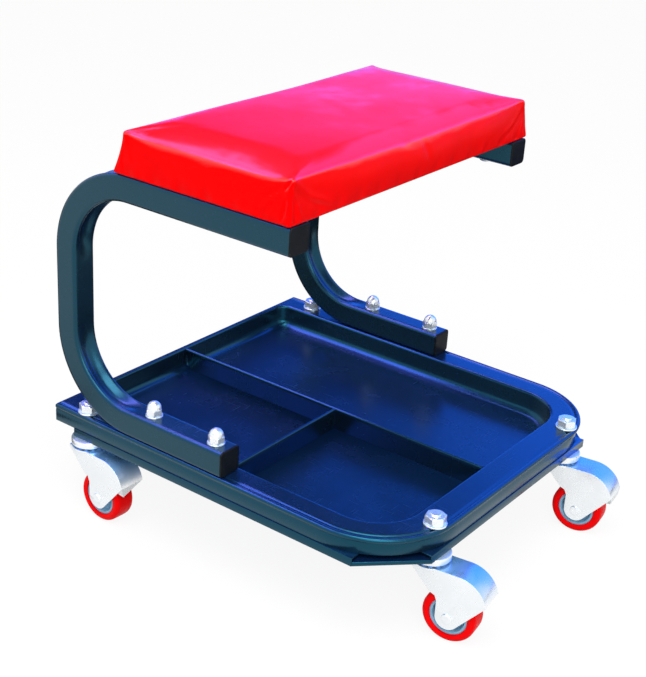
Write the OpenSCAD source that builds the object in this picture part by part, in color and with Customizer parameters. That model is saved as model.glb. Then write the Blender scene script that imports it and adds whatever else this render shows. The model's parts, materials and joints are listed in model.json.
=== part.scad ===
// Rolling creeper seat: a padded seat on two bent tube frames, over a tool tray on four casters.
// Millimetres. Z is up, the front of the tray is towards -Y, left is -X.

/* [Tray] */
// Width of the tray over its rim
tray_w = 376; // [350:1:420]
// Length of the tray from front to rear
tray_l = 408; // [390:1:460]
// Thickness of the pressed sheet
sheet = 1.6; // [1.2:0.1:2]
// Height of the skirt below the top of the flange
skirt_h = 18; // [14:0.5:26]
// Width of the flange along each side
side_flange = 28.5; // [28:0.5:34]
// Width of the flange along the front
front_flange = 33; // [32:0.5:40]
// Width of the rim behind the wells
rear_flange = 5; // [4.5:0.5:10]
// Radius of the rim at the front corners
rim_r = 80; // [60:1:95]
// Radius of the skirt at the front corners, under the rim
skirt_r = 88; // [82:1:110]
// Half the width of the pressed bead along the rim
bead_r = 2.6; // [2:0.1:3.5]
// Width of the groove inside the bead
groove_w = 2; // [1:0.1:3]
// Depth of the groove inside the bead
groove_depth = 0.8; // [0.4:0.1:1]
// How far the bead stands out from the skirt
bead_out = 0.6; // [0.3:0.1:1.5]
// Corner radius of the wells at the front
well_front_r = 47; // [30:1:55]
// Corner radius of the wells at the rear
well_rear_r = 14; // [8:1:24]
// Height of the slope between the walls and the floor of the wells
floor_slope = 5; // [2:0.5:8]

/* [Dividers] */
// Distance of the long divider to the left of the middle
divider_left = 4.5; // [-30:0.5:30]
// Distance of the cross divider behind the middle of the tray
divider_rear = 0; // [-40:1:40]
// Drop of the dividers' top edge below the flange
divider_drop = 1; // [0.5:0.5:6]
// Thickness of the folded hem on the dividers' top edge
hem_t = 3.2; // [2.4:0.1:4]
// Height of the folded hem
hem_h = 5; // [3:0.5:8]
// Width of the dividers' feet on the floor
divider_foot = 10; // [6:0.5:14]
// Depth of the pressed seats that the dividers' feet stand in
divider_seat = 0.4; // [0.3:0.1:0.6]

/* [Base frame] */
// Height of the rails under the skirt
rail_h = 8; // [6:0.5:12]
// Width of the side and front rails
rail_w = 24; // [22:0.5:26]
// Thickness of the caster plates
plate_t = 4; // [3:0.5:5]
// Length cut off each side of the base's front corners
front_cut = 49; // [40:1:56]
// Length cut off each side of the base's rear corners
rear_cut = 26; // [12:1:27]
// Length of the caster plates inside the rails
plate_tongue = 30; // [28:1:40]

/* [Seat frames] */
// Width of the square tube
tube_w = 25.4; // [22:0.1:27]
// Wall of the square tube
tube_wall = 1.8; // [1.2:0.1:2.5]
// Corner radius of the square tube
tube_corner = 3.6; // [3:0.1:5]
// Radius of the bends along the middle of the tube
bend_r = 76.2; // [60:0.1:90]
// Height of the frames above the flange
frame_h = 254; // [220:1:320]
// Length of the frames' feet, with their bends
foot_l = 207; // [190:1:240]
// Length of the frames' arms under the seat, with their bends
arm_l = 272; // [255:1:320]
// Distance of the frames' back from the rear edge of the tray
frame_in = 6; // [4:0.5:10]

/* [Seat] */
// How far the seat's base stands out past the frames on each side
seat_over = 2; // [2:0.5:12]
// Depth of the seat at its base
seat_d = 192; // [170:1:230]
// Height of the seat at the top of its crown
seat_h = 44; // [36:0.5:60]
// Rise of the crown above the top edge
crown = 4; // [1:0.5:8]
// How far each side draws in towards the top
draw_in = 8; // [0:0.5:10]
// Corner radius of the seat in plan
seat_corner = 15; // [12:1:25]
// Radius of the seat's top edge
seat_edge = 8; // [4:0.5:12]
// Radius of the seat's lower edge
seat_low_edge = 4; // [3:0.5:6]
// Thickness of the seat board
board_t = 12; // [9:0.5:15]
// Thickness of the cover
cover_t = 1.2; // [1:0.1:2]
// Width of the cover turned under the board
turn_under = 24; // [12:1:40]

/* [Casters] */
// Height from the floor to the underside of the caster plates
caster_h = 80; // [78:0.5:100]
// Diameter of the wheels
wheel_d = 51; // [46:0.5:56]
// Width of the wheels
wheel_w = 22; // [18:0.5:24]
// Distance of the axle behind the stem
trail = 25; // [20:0.5:28]
// Diameter of the caster's stem
stem_d = 10; // [8:0.5:12]
// Distance of the front stems from the sides
front_stem_side = 69; // [64:0.5:74]
// Distance of the front stems from the front edge
front_stem_in = 12; // [11.5:0.5:14]
// Distance of the rear stems from the sides
rear_stem_side = 11; // [11:0.5:16]
// Distance of the rear stems from the rear edge
rear_stem_in = 36; // [34:0.5:44]
// Angles that the four forks stand at, front left, front right, rear left, rear right
trail_turn = [8, 8, -2, 2];

/* [Fasteners] */
// Diameter of the bolts through the frames' feet
foot_bolt_d = 8; // [6:0.5:8.5]
// Distance of the front foot bolt from the end of the foot
foot_bolt_in = 17; // [14:0.5:24]
// Distance of the rear foot bolt from the start of the bend
foot_bolt_bend = 25.1; // [17:0.1:41]
// Diameter of the screws that hold the seat
seat_screw_d = 6; // [4:0.5:6.5]
// Distance of the front seat screw from the end of the arm
seat_screw_in = 35; // [25:1:50]
// Place of the rear seat screw, as a share of the arm's straight length
seat_screw_share = 0.79; // [0.6:0.01:0.82]

/* [Hidden] */
$fn = 48;

// Finishes
paint = [0.10, 0.16, 0.32];
dark_paint = [0.06, 0.09, 0.18];
zinc = [0.84, 0.87, 0.91];
red_vinyl = [0.90, 0.05, 0.07];
red_tyre = [0.88, 0.03, 0.04];
hub_grey = [0.42, 0.52, 0.60];
plug_black = [0.05, 0.05, 0.06];
ply = [0.78, 0.62, 0.42];
foam = [0.93, 0.86, 0.62];

// Clearances and overruns
over = 1;
thread_gap = 0.05;
bolt_clear = 0.3;
slide_gap = 0.2;
run_gap = 0.08;
air_gap = 0.3;

// Caster pieces
fork_t = 2;
wheel_side_gap = 1;
fork_in_w = wheel_w + 2 * wheel_side_gap;
fork_w = fork_in_w + 2 * fork_t;
fork_drop = 9;
fork_disc_r = 17;
fork_rear = 13.5;
boss_r = 11;
leg_rear_s = trail - boss_r;
waist_z = 47;
shoulder_s = 1;
shoulder_z = 53;
waist_fillet = 7;
hood_r = 28;
hood_past = 7;
hood_s = trail + hood_past;
tip_turn = 13;
ball_d = 5;
ball_count = 12;
ball_pitch_r = 12;
race_gap = 1.4;
race_rim_t = 1.6;
race_r = ball_pitch_r + ball_d / 2 + race_gap + race_rim_t;
race_rim_drop = 6.4;
rivet_r = 9;
rivet_h = 2.7;
axle_d = 6;
axle_head_r = 5;
axle_head_h = 1.6;
sleeve_wall = 1.8;
hub_r = 18;
hub_rim_t = 3;
hub_side_in = 1.2;
hub_web_t = 7;
hub_boss_r = 8.5;
tread_round = 4;

// Fasteners
washer_t = 1.6;
foot_washer_r = 8.2;
stem_washer_r = 10.5;
dome_nut_af = 13.5;
dome_nut_hex_h = 6.5;
dome_nut_h = 13.5;
bolt_head_af = 13;
bolt_head_h = 5;
stem_nut_af = 17;
stem_nut_h = 7.5;
stem_end = 1.5;
crush_wall = 2;
screw_head_r = 5.8;
screw_head_h = 3.6;
screw_in_board = 9;
tee_flange_r = 8;
tee_flange_t = 1.2;
tee_barrel_wall = 1.2;
plug_cap_t = 1.6;
plug_insert = 8;
plug_wall = 2;
inner_corner = tube_corner - tube_wall;

// Heights
well_gap = 0.4;
plate_z = caster_h;
skirt_z = plate_z + rail_h;
flange_z = skirt_z + skirt_h;
flange_low = flange_z - sheet;
floor_z = plate_z + well_gap + sheet;
frame_top = flange_z + frame_h;
fork_z = plate_z - fork_drop;
fork_low = fork_z - fork_t;
axle_z = wheel_d / 2;
hood_z = fork_z - hood_r;
seat_base_h = seat_h - crown;

// Plan places, with the origin under the middle of the whole object
tip_reach = hood_s + hood_r * cos(tip_turn);
function caster_reach(turn) = max(tip_reach, trail + wheel_d / 2) * cos(turn)
    + fork_w / 2 * abs(sin(turn));
front_reach = max(caster_reach(trail_turn[0]), caster_reach(trail_turn[1])) - front_stem_in;
front_y = (front_reach - tray_l) / 2;
rear_y = front_y + tray_l;
middle_y = (front_y + rear_y) / 2;
side_x = tray_w / 2;
well_x = side_x - side_flange;
well_front = front_y + front_flange;
well_rear = rear_y - rear_flange;
long_x = -divider_left;
cross_y = middle_y + divider_rear;
frame_x = side_x - tube_w / 2;
seat_w = 2 * (frame_x + tube_w / 2 + seat_over);
front_stem_x = side_x - front_stem_side;
frame_back = rear_y - frame_in;
bend_y = frame_back - tube_w / 2 - bend_r;
foot_front = frame_back - foot_l;
arm_front = frame_back - arm_l;
foot_bolt_y = [foot_front + foot_bolt_in, bend_y - foot_bolt_bend];
seat_screw_y = [arm_front + seat_screw_in, arm_front + seat_screw_share * (bend_y - arm_front)];
seat_y = arm_front + seat_d / 2;
stem_at = [[-front_stem_x, front_y + front_stem_in], [front_stem_x, front_y + front_stem_in],
    [-(side_x - rear_stem_side), rear_y - rear_stem_in], [side_x - rear_stem_side, rear_y - rear_stem_in]];

// Shapes that several pieces share

module rounded_square(w, r) {
    square([w, w - 2 * r], center = true);
    square([w - 2 * r, w], center = true);
    for (x = [-1, 1], y = [-1, 1]) translate([x * (w / 2 - r), y * (w / 2 - r)]) circle(r);
}

module hexagon(af) circle(af / 2 / cos(30), $fn = 6);

module ring(outer_r, inner_r, h) difference() {
    cylinder(r = outer_r, h = h);
    translate([0, 0, -over]) cylinder(r = inner_r, h = h + 2 * over);
}

// A rectangle with one radius at its front corners and another at its rear corners
module round_plan(half, low, high, front_r, rear_r) {
    polygon([[-half + front_r, low], [half - front_r, low], [half, low + front_r], [half, high - rear_r],
        [half - rear_r, high], [-half + rear_r, high], [-half, high - rear_r], [-half, low + front_r]]);
    for (x = [-1, 1]) {
        translate([x * (half - front_r), low + front_r]) circle(front_r, $fn = 96);
        if (rear_r > 0) translate([x * (half - rear_r), high - rear_r]) circle(rear_r);
    }
}

// Plan of the rim, drawn in by a margin along its sides and front, with square rear corners
module tray_outline(r, margin, rear_margin = 0)
    round_plan(side_x - margin, front_y + margin, rear_y - rear_margin, r - margin, 0);

// Outline of the wells, grown by a margin
module well_outline(margin = 0)
    round_plan(well_x + margin, well_front - margin, well_rear + margin, well_front_r + margin,
        well_rear_r + margin);

// Solid of the wells from their floor up to a height, grown by a margin
module well_solid(margin, low, high) {
    hull() {
        translate([0, 0, low]) linear_extrude(over / 10) well_outline(margin - floor_slope);
        translate([0, 0, low + floor_slope]) linear_extrude(over / 10) well_outline(margin);
    }
    translate([0, 0, low + floor_slope]) linear_extrude(high - low - floor_slope) well_outline(margin);
}

module at_stem(i) translate([stem_at[i][0], stem_at[i][1], 0]) children();

module at_caster(i) at_stem(i) rotate(trail_turn[i]) children();

module at_foot_bolts() for (x = [-1, 1], y = foot_bolt_y) translate([x * frame_x, y, 0]) children();

module at_seat_screws() for (x = [-1, 1], y = seat_screw_y) translate([x * frame_x, y, 0]) children();

// Sets an outline of trail and height upright along the fork, with its thickness across it
module along_fork(w) rotate([0, 0, -90]) rotate([90, 0, 0]) linear_extrude(w, center = true) children();

// Turns a cylinder's axis across the fork, at the axle
module at_axle() translate([0, -trail, axle_z]) rotate([0, 90, 0]) children();

// Tray and dividers

// Room for the crush tubes of the stems, wherever they stand
module sleeve_holes(low, h) translate([0, 0, low])
    for (i = [0:3]) at_stem(i) cylinder(d = stem_d + 2 * crush_wall + 2 * bolt_clear, h = h);

// Section of the bead: half round above, as high as the sheet, and level with the flange below
module bead_section() intersection() {
    scale([1, sheet / bead_r]) circle(bead_r, $fn = 24);
    translate([-bead_r, 0]) square(2 * bead_r);
}

module rim_bead() translate([0, 0, flange_low]) {
    for (side = [0, 1]) mirror([side, 0, 0]) {
        translate([side_x - bead_r, rear_y, 0]) rotate([90, 0, 0])
            linear_extrude(tray_l - rim_r) bead_section();
        translate([side_x - rim_r, front_y + rim_r, 0]) rotate(-90)
            rotate_extrude(angle = 90, $fn = 96) translate([rim_r - bead_r, 0]) bead_section();
    }
    translate([side_x - rim_r, front_y + bead_r, 0]) rotate([90, 0, -90])
        linear_extrude(tray_w - 2 * rim_r) bead_section();
}

module skirt() difference() {
    translate([0, 0, skirt_z]) linear_extrude(skirt_h - sheet) difference() {
        tray_outline(skirt_r, bead_out);
        tray_outline(skirt_r, bead_out + sheet, sheet);
    }
    sleeve_holes(skirt_z - over, skirt_h + over);
}

// Plan of the pressed seats for the dividers' feet, just past the foot of the sloped walls
module divider_seats() intersection() {
    well_outline(slide_gap - floor_slope);
    union() {
        translate([long_x - sheet / 2 - slide_gap, well_front])
            square([divider_foot + 2 * slide_gap, well_rear - well_front]);
        translate([-well_x, cross_y - sheet / 2 - slide_gap])
            square([well_x + long_x, divider_foot + 2 * slide_gap]);
    }
}

module tray() color(paint) difference() {
    union() {
        translate([0, 0, flange_low]) {
            linear_extrude(sheet) tray_outline(rim_r, 2 * bead_r + groove_w);
            linear_extrude(sheet - groove_depth) tray_outline(rim_r, bead_r);
        }
        rim_bead();
        skirt();
        well_solid(sheet, floor_z - sheet, flange_z);
    }
    well_solid(0, floor_z, flange_z + over);
    translate([0, 0, floor_z - divider_seat]) linear_extrude(divider_seat + over) divider_seats();
    translate([0, 0, flange_low - over]) {
        for (i = [0:3]) at_stem(i) cylinder(d = stem_d + bolt_clear, h = sheet + 2 * over);
        at_foot_bolts() cylinder(d = foot_bolt_d + bolt_clear, h = sheet + 2 * over);
    }
}

divider_low = floor_z - divider_seat;
divider_h = flange_z - divider_drop - divider_low;

// A sheet standing on its foot, along +Y from the origin
module divider_sheet(length, h) {
    translate([-sheet / 2, 0, 0]) cube([sheet, length, h]);
    translate([-hem_t / 2, 0, h - hem_h]) cube([hem_t, length, hem_h]);
    translate([-sheet / 2, floor_slope, 0]) cube([divider_foot, length - 2 * floor_slope, sheet]);
}

// What a divider has to stay inside of, so that it meets the sloped walls
module well_space() well_solid(-slide_gap - divider_seat, divider_low, flange_z);

module long_divider() color(dark_paint) intersection() {
    translate([long_x, well_front, divider_low]) divider_sheet(well_rear - well_front, divider_h);
    well_space();
}

module cross_divider() color(dark_paint) intersection() {
    translate([long_x - hem_t / 2 - slide_gap, cross_y, divider_low]) rotate(90)
        divider_sheet(well_x + long_x - hem_t / 2, divider_h);
    well_space();
}

// Base frame

// Plan of the base, with cut corners
module base_outline() polygon([[-side_x, front_y + front_cut], [-side_x + front_cut, front_y],
    [side_x - front_cut, front_y], [side_x, front_y + front_cut], [side_x, rear_y - rear_cut],
    [side_x - rear_cut, rear_y], [-side_x + rear_cut, rear_y], [-side_x, rear_y - rear_cut]]);

// Shallow channel, open below, along +Y from the origin, with its outer face at x = 0
module channel(length) difference() {
    cube([rail_w, length, rail_h]);
    translate([sheet, -over, -over]) cube([rail_w - 2 * sheet, length + 2 * over, rail_h - sheet + over]);
}

module rail_holes() {
    translate([0, 0, plate_z + rail_h / 2])
        at_foot_bolts() cylinder(d = foot_bolt_d + bolt_clear, h = rail_h);
    sleeve_holes(plate_z + rail_h / 2, rail_h);
}

module side_rail(x) intersection() {
    difference() {
        translate([0, front_y + front_cut, plate_z]) mirror([x > 0 ? 1 : 0, 0, 0])
            translate([-side_x, 0, 0]) channel(tray_l - front_cut);
        rail_holes();
    }
    translate([0, 0, plate_z - over]) linear_extrude(rail_h + 2 * over) base_outline();
}

module left_rail() color(paint) side_rail(-1);

module right_rail() color(paint) side_rail(1);

module front_rail() color(paint) difference() {
    translate([-side_x + front_cut, front_y + rail_w, plate_z]) rotate(-90) channel(tray_w - 2 * front_cut);
    rail_holes();
}

module rear_rail() color(paint) translate([-well_x, rear_y - 2 * sheet, plate_z]) {
    cube([2 * well_x, 2 * sheet, rail_h]);
}

// Outline of a front caster plate: the cut corner, and tongues inside both rails
module front_plate_outline() intersection() {
    base_outline();
    difference() {
        union() {
            translate([-side_x, front_y]) square([front_cut, front_cut]);
            translate([-side_x + sheet + slide_gap, front_y])
                square([rail_w - 2 * sheet - 2 * slide_gap, front_cut + plate_tongue]);
            translate([-side_x, front_y + sheet + slide_gap])
                square([front_cut + plate_tongue, rail_w - 2 * sheet - 2 * slide_gap]);
        }
        well_outline(sheet + air_gap);
    }
}

module front_plate(x) difference() {
    translate([0, 0, plate_z]) linear_extrude(plate_t) mirror([x > 0 ? 1 : 0, 0]) front_plate_outline();
    translate([0, 0, plate_z - over]) for (i = [0, 1]) at_stem(i)
        cylinder(d = stem_d + bolt_clear, h = plate_t + 2 * over);
}

module rear_plate(x) difference() {
    translate([0, 0, plate_z]) linear_extrude(plate_t) mirror([x > 0 ? 1 : 0, 0]) intersection() {
        base_outline();
        translate([-side_x + sheet + slide_gap, rear_y - rear_stem_in - plate_tongue])
            square([rail_w - 2 * sheet - 2 * slide_gap, rear_stem_in + plate_tongue]);
    }
    translate([0, 0, plate_z - over]) for (i = [2, 3]) at_stem(i)
        cylinder(d = stem_d + bolt_clear, h = plate_t + 2 * over);
}

module front_left_plate() color(paint) front_plate(-1);

module front_right_plate() color(paint) front_plate(1);

module rear_left_plate() color(paint) rear_plate(-1);

module rear_right_plate() color(paint) rear_plate(1);

module stem_sleeves() color(zinc) for (i = [0:3]) at_stem(i) translate([0, 0, plate_z + plate_t])
    ring(stem_d / 2 + crush_wall, stem_d / 2 + bolt_clear / 2, flange_low - plate_z - plate_t);

module foot_sleeves() color(zinc) at_foot_bolts() translate([0, 0, skirt_z])
    ring(foot_bolt_d / 2 + crush_wall, foot_bolt_d / 2 + bolt_clear / 2, flange_low - skirt_z);

// Seat frames

module tube_section() difference() {
    rounded_square(tube_w, tube_corner);
    rounded_square(tube_w - 2 * tube_wall, inner_corner);
}

// A quarter bend in the plane of Y and Z, from the +Y side to the +Z side
module tube_bend() rotate([90, 0, 90]) rotate_extrude(angle = 90, $fn = 96) translate([bend_r, 0])
    tube_section();

module tube_frame() difference() {
    union() {
        for (run = [[foot_front, flange_z + tube_w / 2], [arm_front, frame_top - tube_w / 2]])
            translate([0, run[0] + plug_cap_t, run[1]]) rotate([-90, 0, 0])
                linear_extrude(bend_y - run[0] - plug_cap_t) tube_section();
        translate([0, bend_y, flange_z + tube_w / 2 + bend_r]) mirror([0, 0, 1]) tube_bend();
        translate([0, bend_y, frame_top - tube_w / 2 - bend_r]) tube_bend();
        translate([0, bend_y + bend_r, flange_z + tube_w / 2 + bend_r])
            linear_extrude(frame_h - tube_w - 2 * bend_r) tube_section();
    }
    for (y = foot_bolt_y) translate([0, y, flange_z - over])
        cylinder(d = foot_bolt_d + bolt_clear, h = tube_w + 2 * over);
    for (y = seat_screw_y) translate([0, y, frame_top - tube_w - over])
        cylinder(d = seat_screw_d + bolt_clear, h = tube_w + 2 * over);
}

module left_frame() color(paint) translate([-frame_x, 0, 0]) tube_frame();

module right_frame() color(paint) translate([frame_x, 0, 0]) tube_frame();

module tube_plug() rotate([-90, 0, 0]) {
    linear_extrude(plug_cap_t) rounded_square(tube_w, tube_corner);
    translate([0, 0, plug_cap_t]) linear_extrude(plug_insert) difference() {
        rounded_square(tube_w - 2 * tube_wall - 2 * slide_gap, inner_corner);
        square(tube_w - 2 * tube_wall - 2 * slide_gap - 2 * plug_wall, center = true);
    }
}

module tube_plugs() color(plug_black) for (x = [-1, 1]) {
    translate([x * frame_x, foot_front, flange_z + tube_w / 2]) tube_plug();
    translate([x * frame_x, arm_front, frame_top - tube_w / 2]) tube_plug();
}

// Fasteners

foot_nut_z = flange_z + tube_w + washer_t;
module foot_bolts() color(zinc) at_foot_bolts() {
    translate([0, 0, skirt_z - sheet - bolt_head_h]) linear_extrude(bolt_head_h) hexagon(bolt_head_af);
    translate([0, 0, skirt_z - sheet])
        cylinder(d = foot_bolt_d, h = foot_nut_z + dome_nut_hex_h - skirt_z + sheet);
}

module foot_washers() color(zinc) at_foot_bolts() translate([0, 0, flange_z + tube_w])
    ring(foot_washer_r, foot_bolt_d / 2 + bolt_clear / 2, washer_t);

module dome_nuts() color(zinc) at_foot_bolts() translate([0, 0, foot_nut_z]) difference() {
    union() {
        linear_extrude(dome_nut_hex_h) hexagon(dome_nut_af);
        translate([0, 0, dome_nut_h - dome_nut_af / 2]) sphere(d = dome_nut_af);
    }
    translate([0, 0, -over]) cylinder(r = foot_bolt_d / 2 + thread_gap, h = dome_nut_hex_h + 2 * over);
}

stem_nut_z = flange_z + washer_t;
module caster_stems() color(zinc) for (i = [0:3]) at_stem(i) {
    translate([0, 0, fork_low - air_gap - rivet_h]) cylinder(r = rivet_r, h = rivet_h);
    translate([0, 0, fork_low - air_gap])
        cylinder(d = stem_d, h = stem_nut_z + stem_nut_h + stem_end - fork_low + air_gap);
}

module stem_washers() color(zinc) for (i = [0:3]) at_stem(i) translate([0, 0, flange_z])
    ring(stem_washer_r, stem_d / 2 + bolt_clear / 2, washer_t);

module stem_nuts() color(zinc) for (i = [0:3]) at_stem(i) translate([0, 0, stem_nut_z]) difference() {
    intersection() {
        linear_extrude(stem_nut_h) hexagon(stem_nut_af);
        translate([0, 0, stem_nut_h / 2]) sphere(r = stem_nut_af * 0.62);
    }
    translate([0, 0, -over]) cylinder(r = stem_d / 2 + thread_gap, h = stem_nut_h + 2 * over);
}

module caster_races() color(zinc) for (i = [0:3]) at_stem(i) {
    translate([0, 0, fork_z + ball_d + air_gap])
        ring(race_r, stem_d / 2 + slide_gap / 2, plate_z - fork_z - ball_d - air_gap);
    translate([0, 0, plate_z - race_rim_drop]) ring(race_r, race_r - race_rim_t, race_rim_drop);
}

// Seat

// One loop of points of a rounded rectangle, with extra points along its sides
arc_steps = 5;
side_steps = 5;
function loop(a, b, r) = [for (q = [0:3]) let (s = [[1, 1], [-1, 1], [-1, -1], [1, -1]],
        c = [s[q][0] * (a - r), s[q][1] * (b - r)], n = (q + 1) % 4,
        e = [c[0] + r * cos(90 * q + 90), c[1] + r * sin(90 * q + 90)],
        f = [s[n][0] * (a - r) + r * cos(90 * n), s[n][1] * (b - r) + r * sin(90 * n)])
    each concat([for (k = [0:arc_steps]) [c[0] + r * cos(90 * q + 90 * k / arc_steps),
            c[1] + r * sin(90 * q + 90 * k / arc_steps)]],
        [for (k = [1:side_steps]) e + (f - e) * k / (side_steps + 1)])];

// Rings of the pad, each as draw-in, height and share of the plan
low_shares = [0, 0.5, 1];
edge_shares = [0, 0.3, 0.6, 0.85, 1];
top_shares = [0.8, 0.55, 0.25];
function pad_rings(h, r, low) = concat(
    [for (t = low_shares) [low * (1 - sin(90 * t)), low * (1 - cos(90 * t)), 1]],
    [[draw_in / 2, (h - r + low) / 2, 1]],
    [for (t = edge_shares) [draw_in + r * (1 - cos(90 * t)), h - r + r * sin(90 * t), 1]],
    [for (t = top_shares) [draw_in + r, h + crown * (1 - t * t), t]]);

// A crowned pad of half sizes a and b, with its base on the plane z = 0
module pad(a, b, h, r, corner, low) {
    rings = pad_rings(h, r, low);
    loops = [for (g = rings) [for (p = loop(a - g[0], b - g[0], corner)) [p[0] * g[2], p[1] * g[2], g[1]]]];
    m = len(loops[0]);
    points = concat([[0, 0, 0]], [for (l = loops) each l], [[0, 0, h + crown]]);
    last = 1 + (len(rings) - 1) * m;
    faces = concat([for (k = [0:m - 1]) [0, 1 + k, 1 + (k + 1) % m]],
        [for (g = [0:len(rings) - 2], k = [0:m - 1]) each [
            [1 + g * m + k, 1 + (g + 1) * m + k, 1 + g * m + (k + 1) % m],
            [1 + g * m + (k + 1) % m, 1 + (g + 1) * m + k, 1 + (g + 1) * m + (k + 1) % m]]],
        [for (k = [0:m - 1]) [last + k, len(points) - 1, last + (k + 1) % m]]);
    polyhedron(points, faces, convexity = 4);
}

module at_seat() translate([0, seat_y, frame_top]) children();

module seat_cover() color(red_vinyl) at_seat() difference() {
    pad(seat_w / 2, seat_d / 2, seat_base_h, seat_edge, seat_corner, seat_low_edge);
    translate([0, 0, cover_t]) pad(seat_w / 2 - cover_t, seat_d / 2 - cover_t, seat_base_h - 2 * cover_t,
        seat_edge - cover_t, seat_corner - cover_t, seat_low_edge - cover_t);
    translate([-seat_w / 2 + turn_under, -seat_d / 2 + turn_under, -over])
        cube([seat_w - 2 * turn_under, seat_d - 2 * turn_under, cover_t + 2 * over]);
    translate([0, -seat_y, -over]) at_seat_screws()
        cylinder(d = seat_screw_d + bolt_clear, h = cover_t + 2 * over);
}

board_in = max(seat_low_edge, cover_t + draw_in / 2) + air_gap;
board_half = seat_d / 2 - board_in;
module seat_board() color(ply) at_seat() difference() {
    translate([0, 0, cover_t]) linear_extrude(board_t)
        round_plan(seat_w / 2 - board_in, -board_half, board_half, seat_corner, seat_corner);
    translate([0, -seat_y, 0]) at_seat_screws() {
        translate([0, 0, cover_t - over])
            cylinder(d = seat_screw_d + 2 * tee_barrel_wall + bolt_clear, h = board_t + 2 * over);
        translate([0, 0, cover_t + board_t - tee_flange_t])
            cylinder(r = tee_flange_r + slide_gap, h = over + tee_flange_t);
    }
}

module seat_foam() color(foam) at_seat() difference() {
    translate([0, 0, cover_t]) pad(seat_w / 2 - cover_t - air_gap, seat_d / 2 - cover_t - air_gap,
        seat_base_h - 2 * cover_t - air_gap, seat_edge - cover_t, seat_corner - cover_t,
        seat_low_edge - cover_t);
    translate([-seat_w, -seat_d, -over]) cube([2 * seat_w, 2 * seat_d, cover_t + board_t + over]);
}

module seat_screws() color(zinc) at_seat_screws() {
    translate([0, 0, frame_top - tube_w - screw_head_h]) cylinder(r = screw_head_r, h = screw_head_h);
    translate([0, 0, frame_top - tube_w]) cylinder(d = seat_screw_d, h = tube_w + cover_t + screw_in_board);
}

module tee_nuts() color(zinc) at_seat_screws() translate([0, 0, frame_top + cover_t]) {
    ring(seat_screw_d / 2 + tee_barrel_wall, seat_screw_d / 2 + thread_gap, board_t - tee_flange_t);
    translate([0, 0, board_t - tee_flange_t])
        ring(tee_flange_r, seat_screw_d / 2 + thread_gap, tee_flange_t);
}

// Casters

function on_hood(turn) = [hood_s + hood_r * cos(turn), hood_z + hood_r * sin(turn)];

// Side view of the fork: trail to the right, height upwards
module leg_outline() {
    lean = atan2(on_hood(tip_turn)[1] - axle_z, on_hood(tip_turn)[0] - trail);
    reach = norm(on_hood(tip_turn) - [trail, axle_z]);
    low_turn = lean - acos(boss_r / reach);
    polygon([[-fork_rear, fork_z], [hood_s, fork_z], [hood_s, hood_z], on_hood(tip_turn),
        [trail + boss_r * cos(low_turn), axle_z + boss_r * sin(low_turn)], [trail, axle_z],
        [leg_rear_s, axle_z], [leg_rear_s, waist_z - waist_fillet],
        [leg_rear_s - waist_fillet * (1 - cos(45)), waist_z - waist_fillet * (1 - sin(45))],
        [leg_rear_s - waist_fillet, waist_z], [shoulder_s, shoulder_z], [-fork_rear, fork_low]]);
    translate([trail, axle_z]) circle(boss_r);
    intersection() {
        translate([hood_s, hood_z]) circle(hood_r, $fn = 96);
        polygon([[hood_s, hood_z], [hood_s, hood_z] + 2 * (on_hood(tip_turn) - [hood_s, hood_z]),
            [hood_s + 2 * hood_r, hood_z + 2 * hood_r], [hood_s, hood_z + 2 * hood_r]]);
    }
}

// What is cut out between the legs, under the hood
module fork_inside() {
    translate([-2 * fork_disc_r, 0]) square([hood_s + 2 * fork_disc_r, fork_low]);
    translate([hood_s - over, 0]) square([2 * hood_r, hood_z]);
    intersection() {
        translate([hood_s, hood_z]) circle(hood_r - fork_t, $fn = 96);
        translate([hood_s - over, hood_z - over]) square(2 * hood_r);
    }
}

module fork(i) color(zinc) at_caster(i) difference() {
    union() {
        difference() {
            along_fork(fork_w) leg_outline();
            along_fork(fork_in_w) fork_inside();
        }
        translate([0, 0, fork_low]) cylinder(r = fork_disc_r, h = fork_t);
    }
    translate([0, 0, fork_low - over]) cylinder(d = stem_d + 2 * run_gap, h = fork_t + 2 * over);
    at_axle() cylinder(d = axle_d + bolt_clear, h = 2 * fork_w, center = true);
}

module balls(i) color(zinc) at_caster(i) for (k = [0:ball_count - 1]) rotate(360 * k / ball_count)
    translate([ball_pitch_r, 0, fork_z + ball_d / 2]) sphere(d = ball_d);

// A riveted pin with a low head at each end
module axle(i) color(zinc) at_caster(i) at_axle() for (side = [0, 1]) mirror([0, 0, side]) {
    cylinder(d = axle_d, h = fork_w / 2);
    translate([0, 0, fork_w / 2])
        cylinder(r1 = axle_head_r, r2 = axle_head_r - axle_head_h, h = axle_head_h);
}

module axle_sleeve(i) color(zinc) at_caster(i) at_axle() translate([0, 0, -fork_in_w / 2])
    ring(axle_d / 2 + sleeve_wall, axle_d / 2 + slide_gap / 2, fork_in_w);

module hub(i) color(hub_grey) at_caster(i) at_axle() rotate_extrude($fn = 96) {
    bore = axle_d / 2 + sleeve_wall + run_gap;
    rim_w = wheel_w - 2 * hub_side_in;
    translate([bore, -wheel_w / 2]) square([hub_boss_r - bore, wheel_w]);
    translate([bore, -hub_web_t / 2]) square([hub_r - hub_rim_t / 2 - bore, hub_web_t]);
    translate([hub_r - hub_rim_t, -rim_w / 2]) square([hub_rim_t, rim_w]);
}

module tread(i) color(red_tyre) at_caster(i) at_axle() rotate_extrude($fn = 96) {
    outer = wheel_d / 2;
    flat = wheel_w / 2 - tread_round;
    bore = hub_r + run_gap;
    translate([bore, -wheel_w / 2]) square([outer - tread_round - bore, wheel_w]);
    translate([bore, -flat]) square([outer - bore, 2 * flat]);
    for (z = [-1, 1]) translate([outer - tread_round, z * flat]) intersection() {
        circle(tread_round);
        translate([0, -tread_round]) square(2 * tread_round);
    }
}

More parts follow.
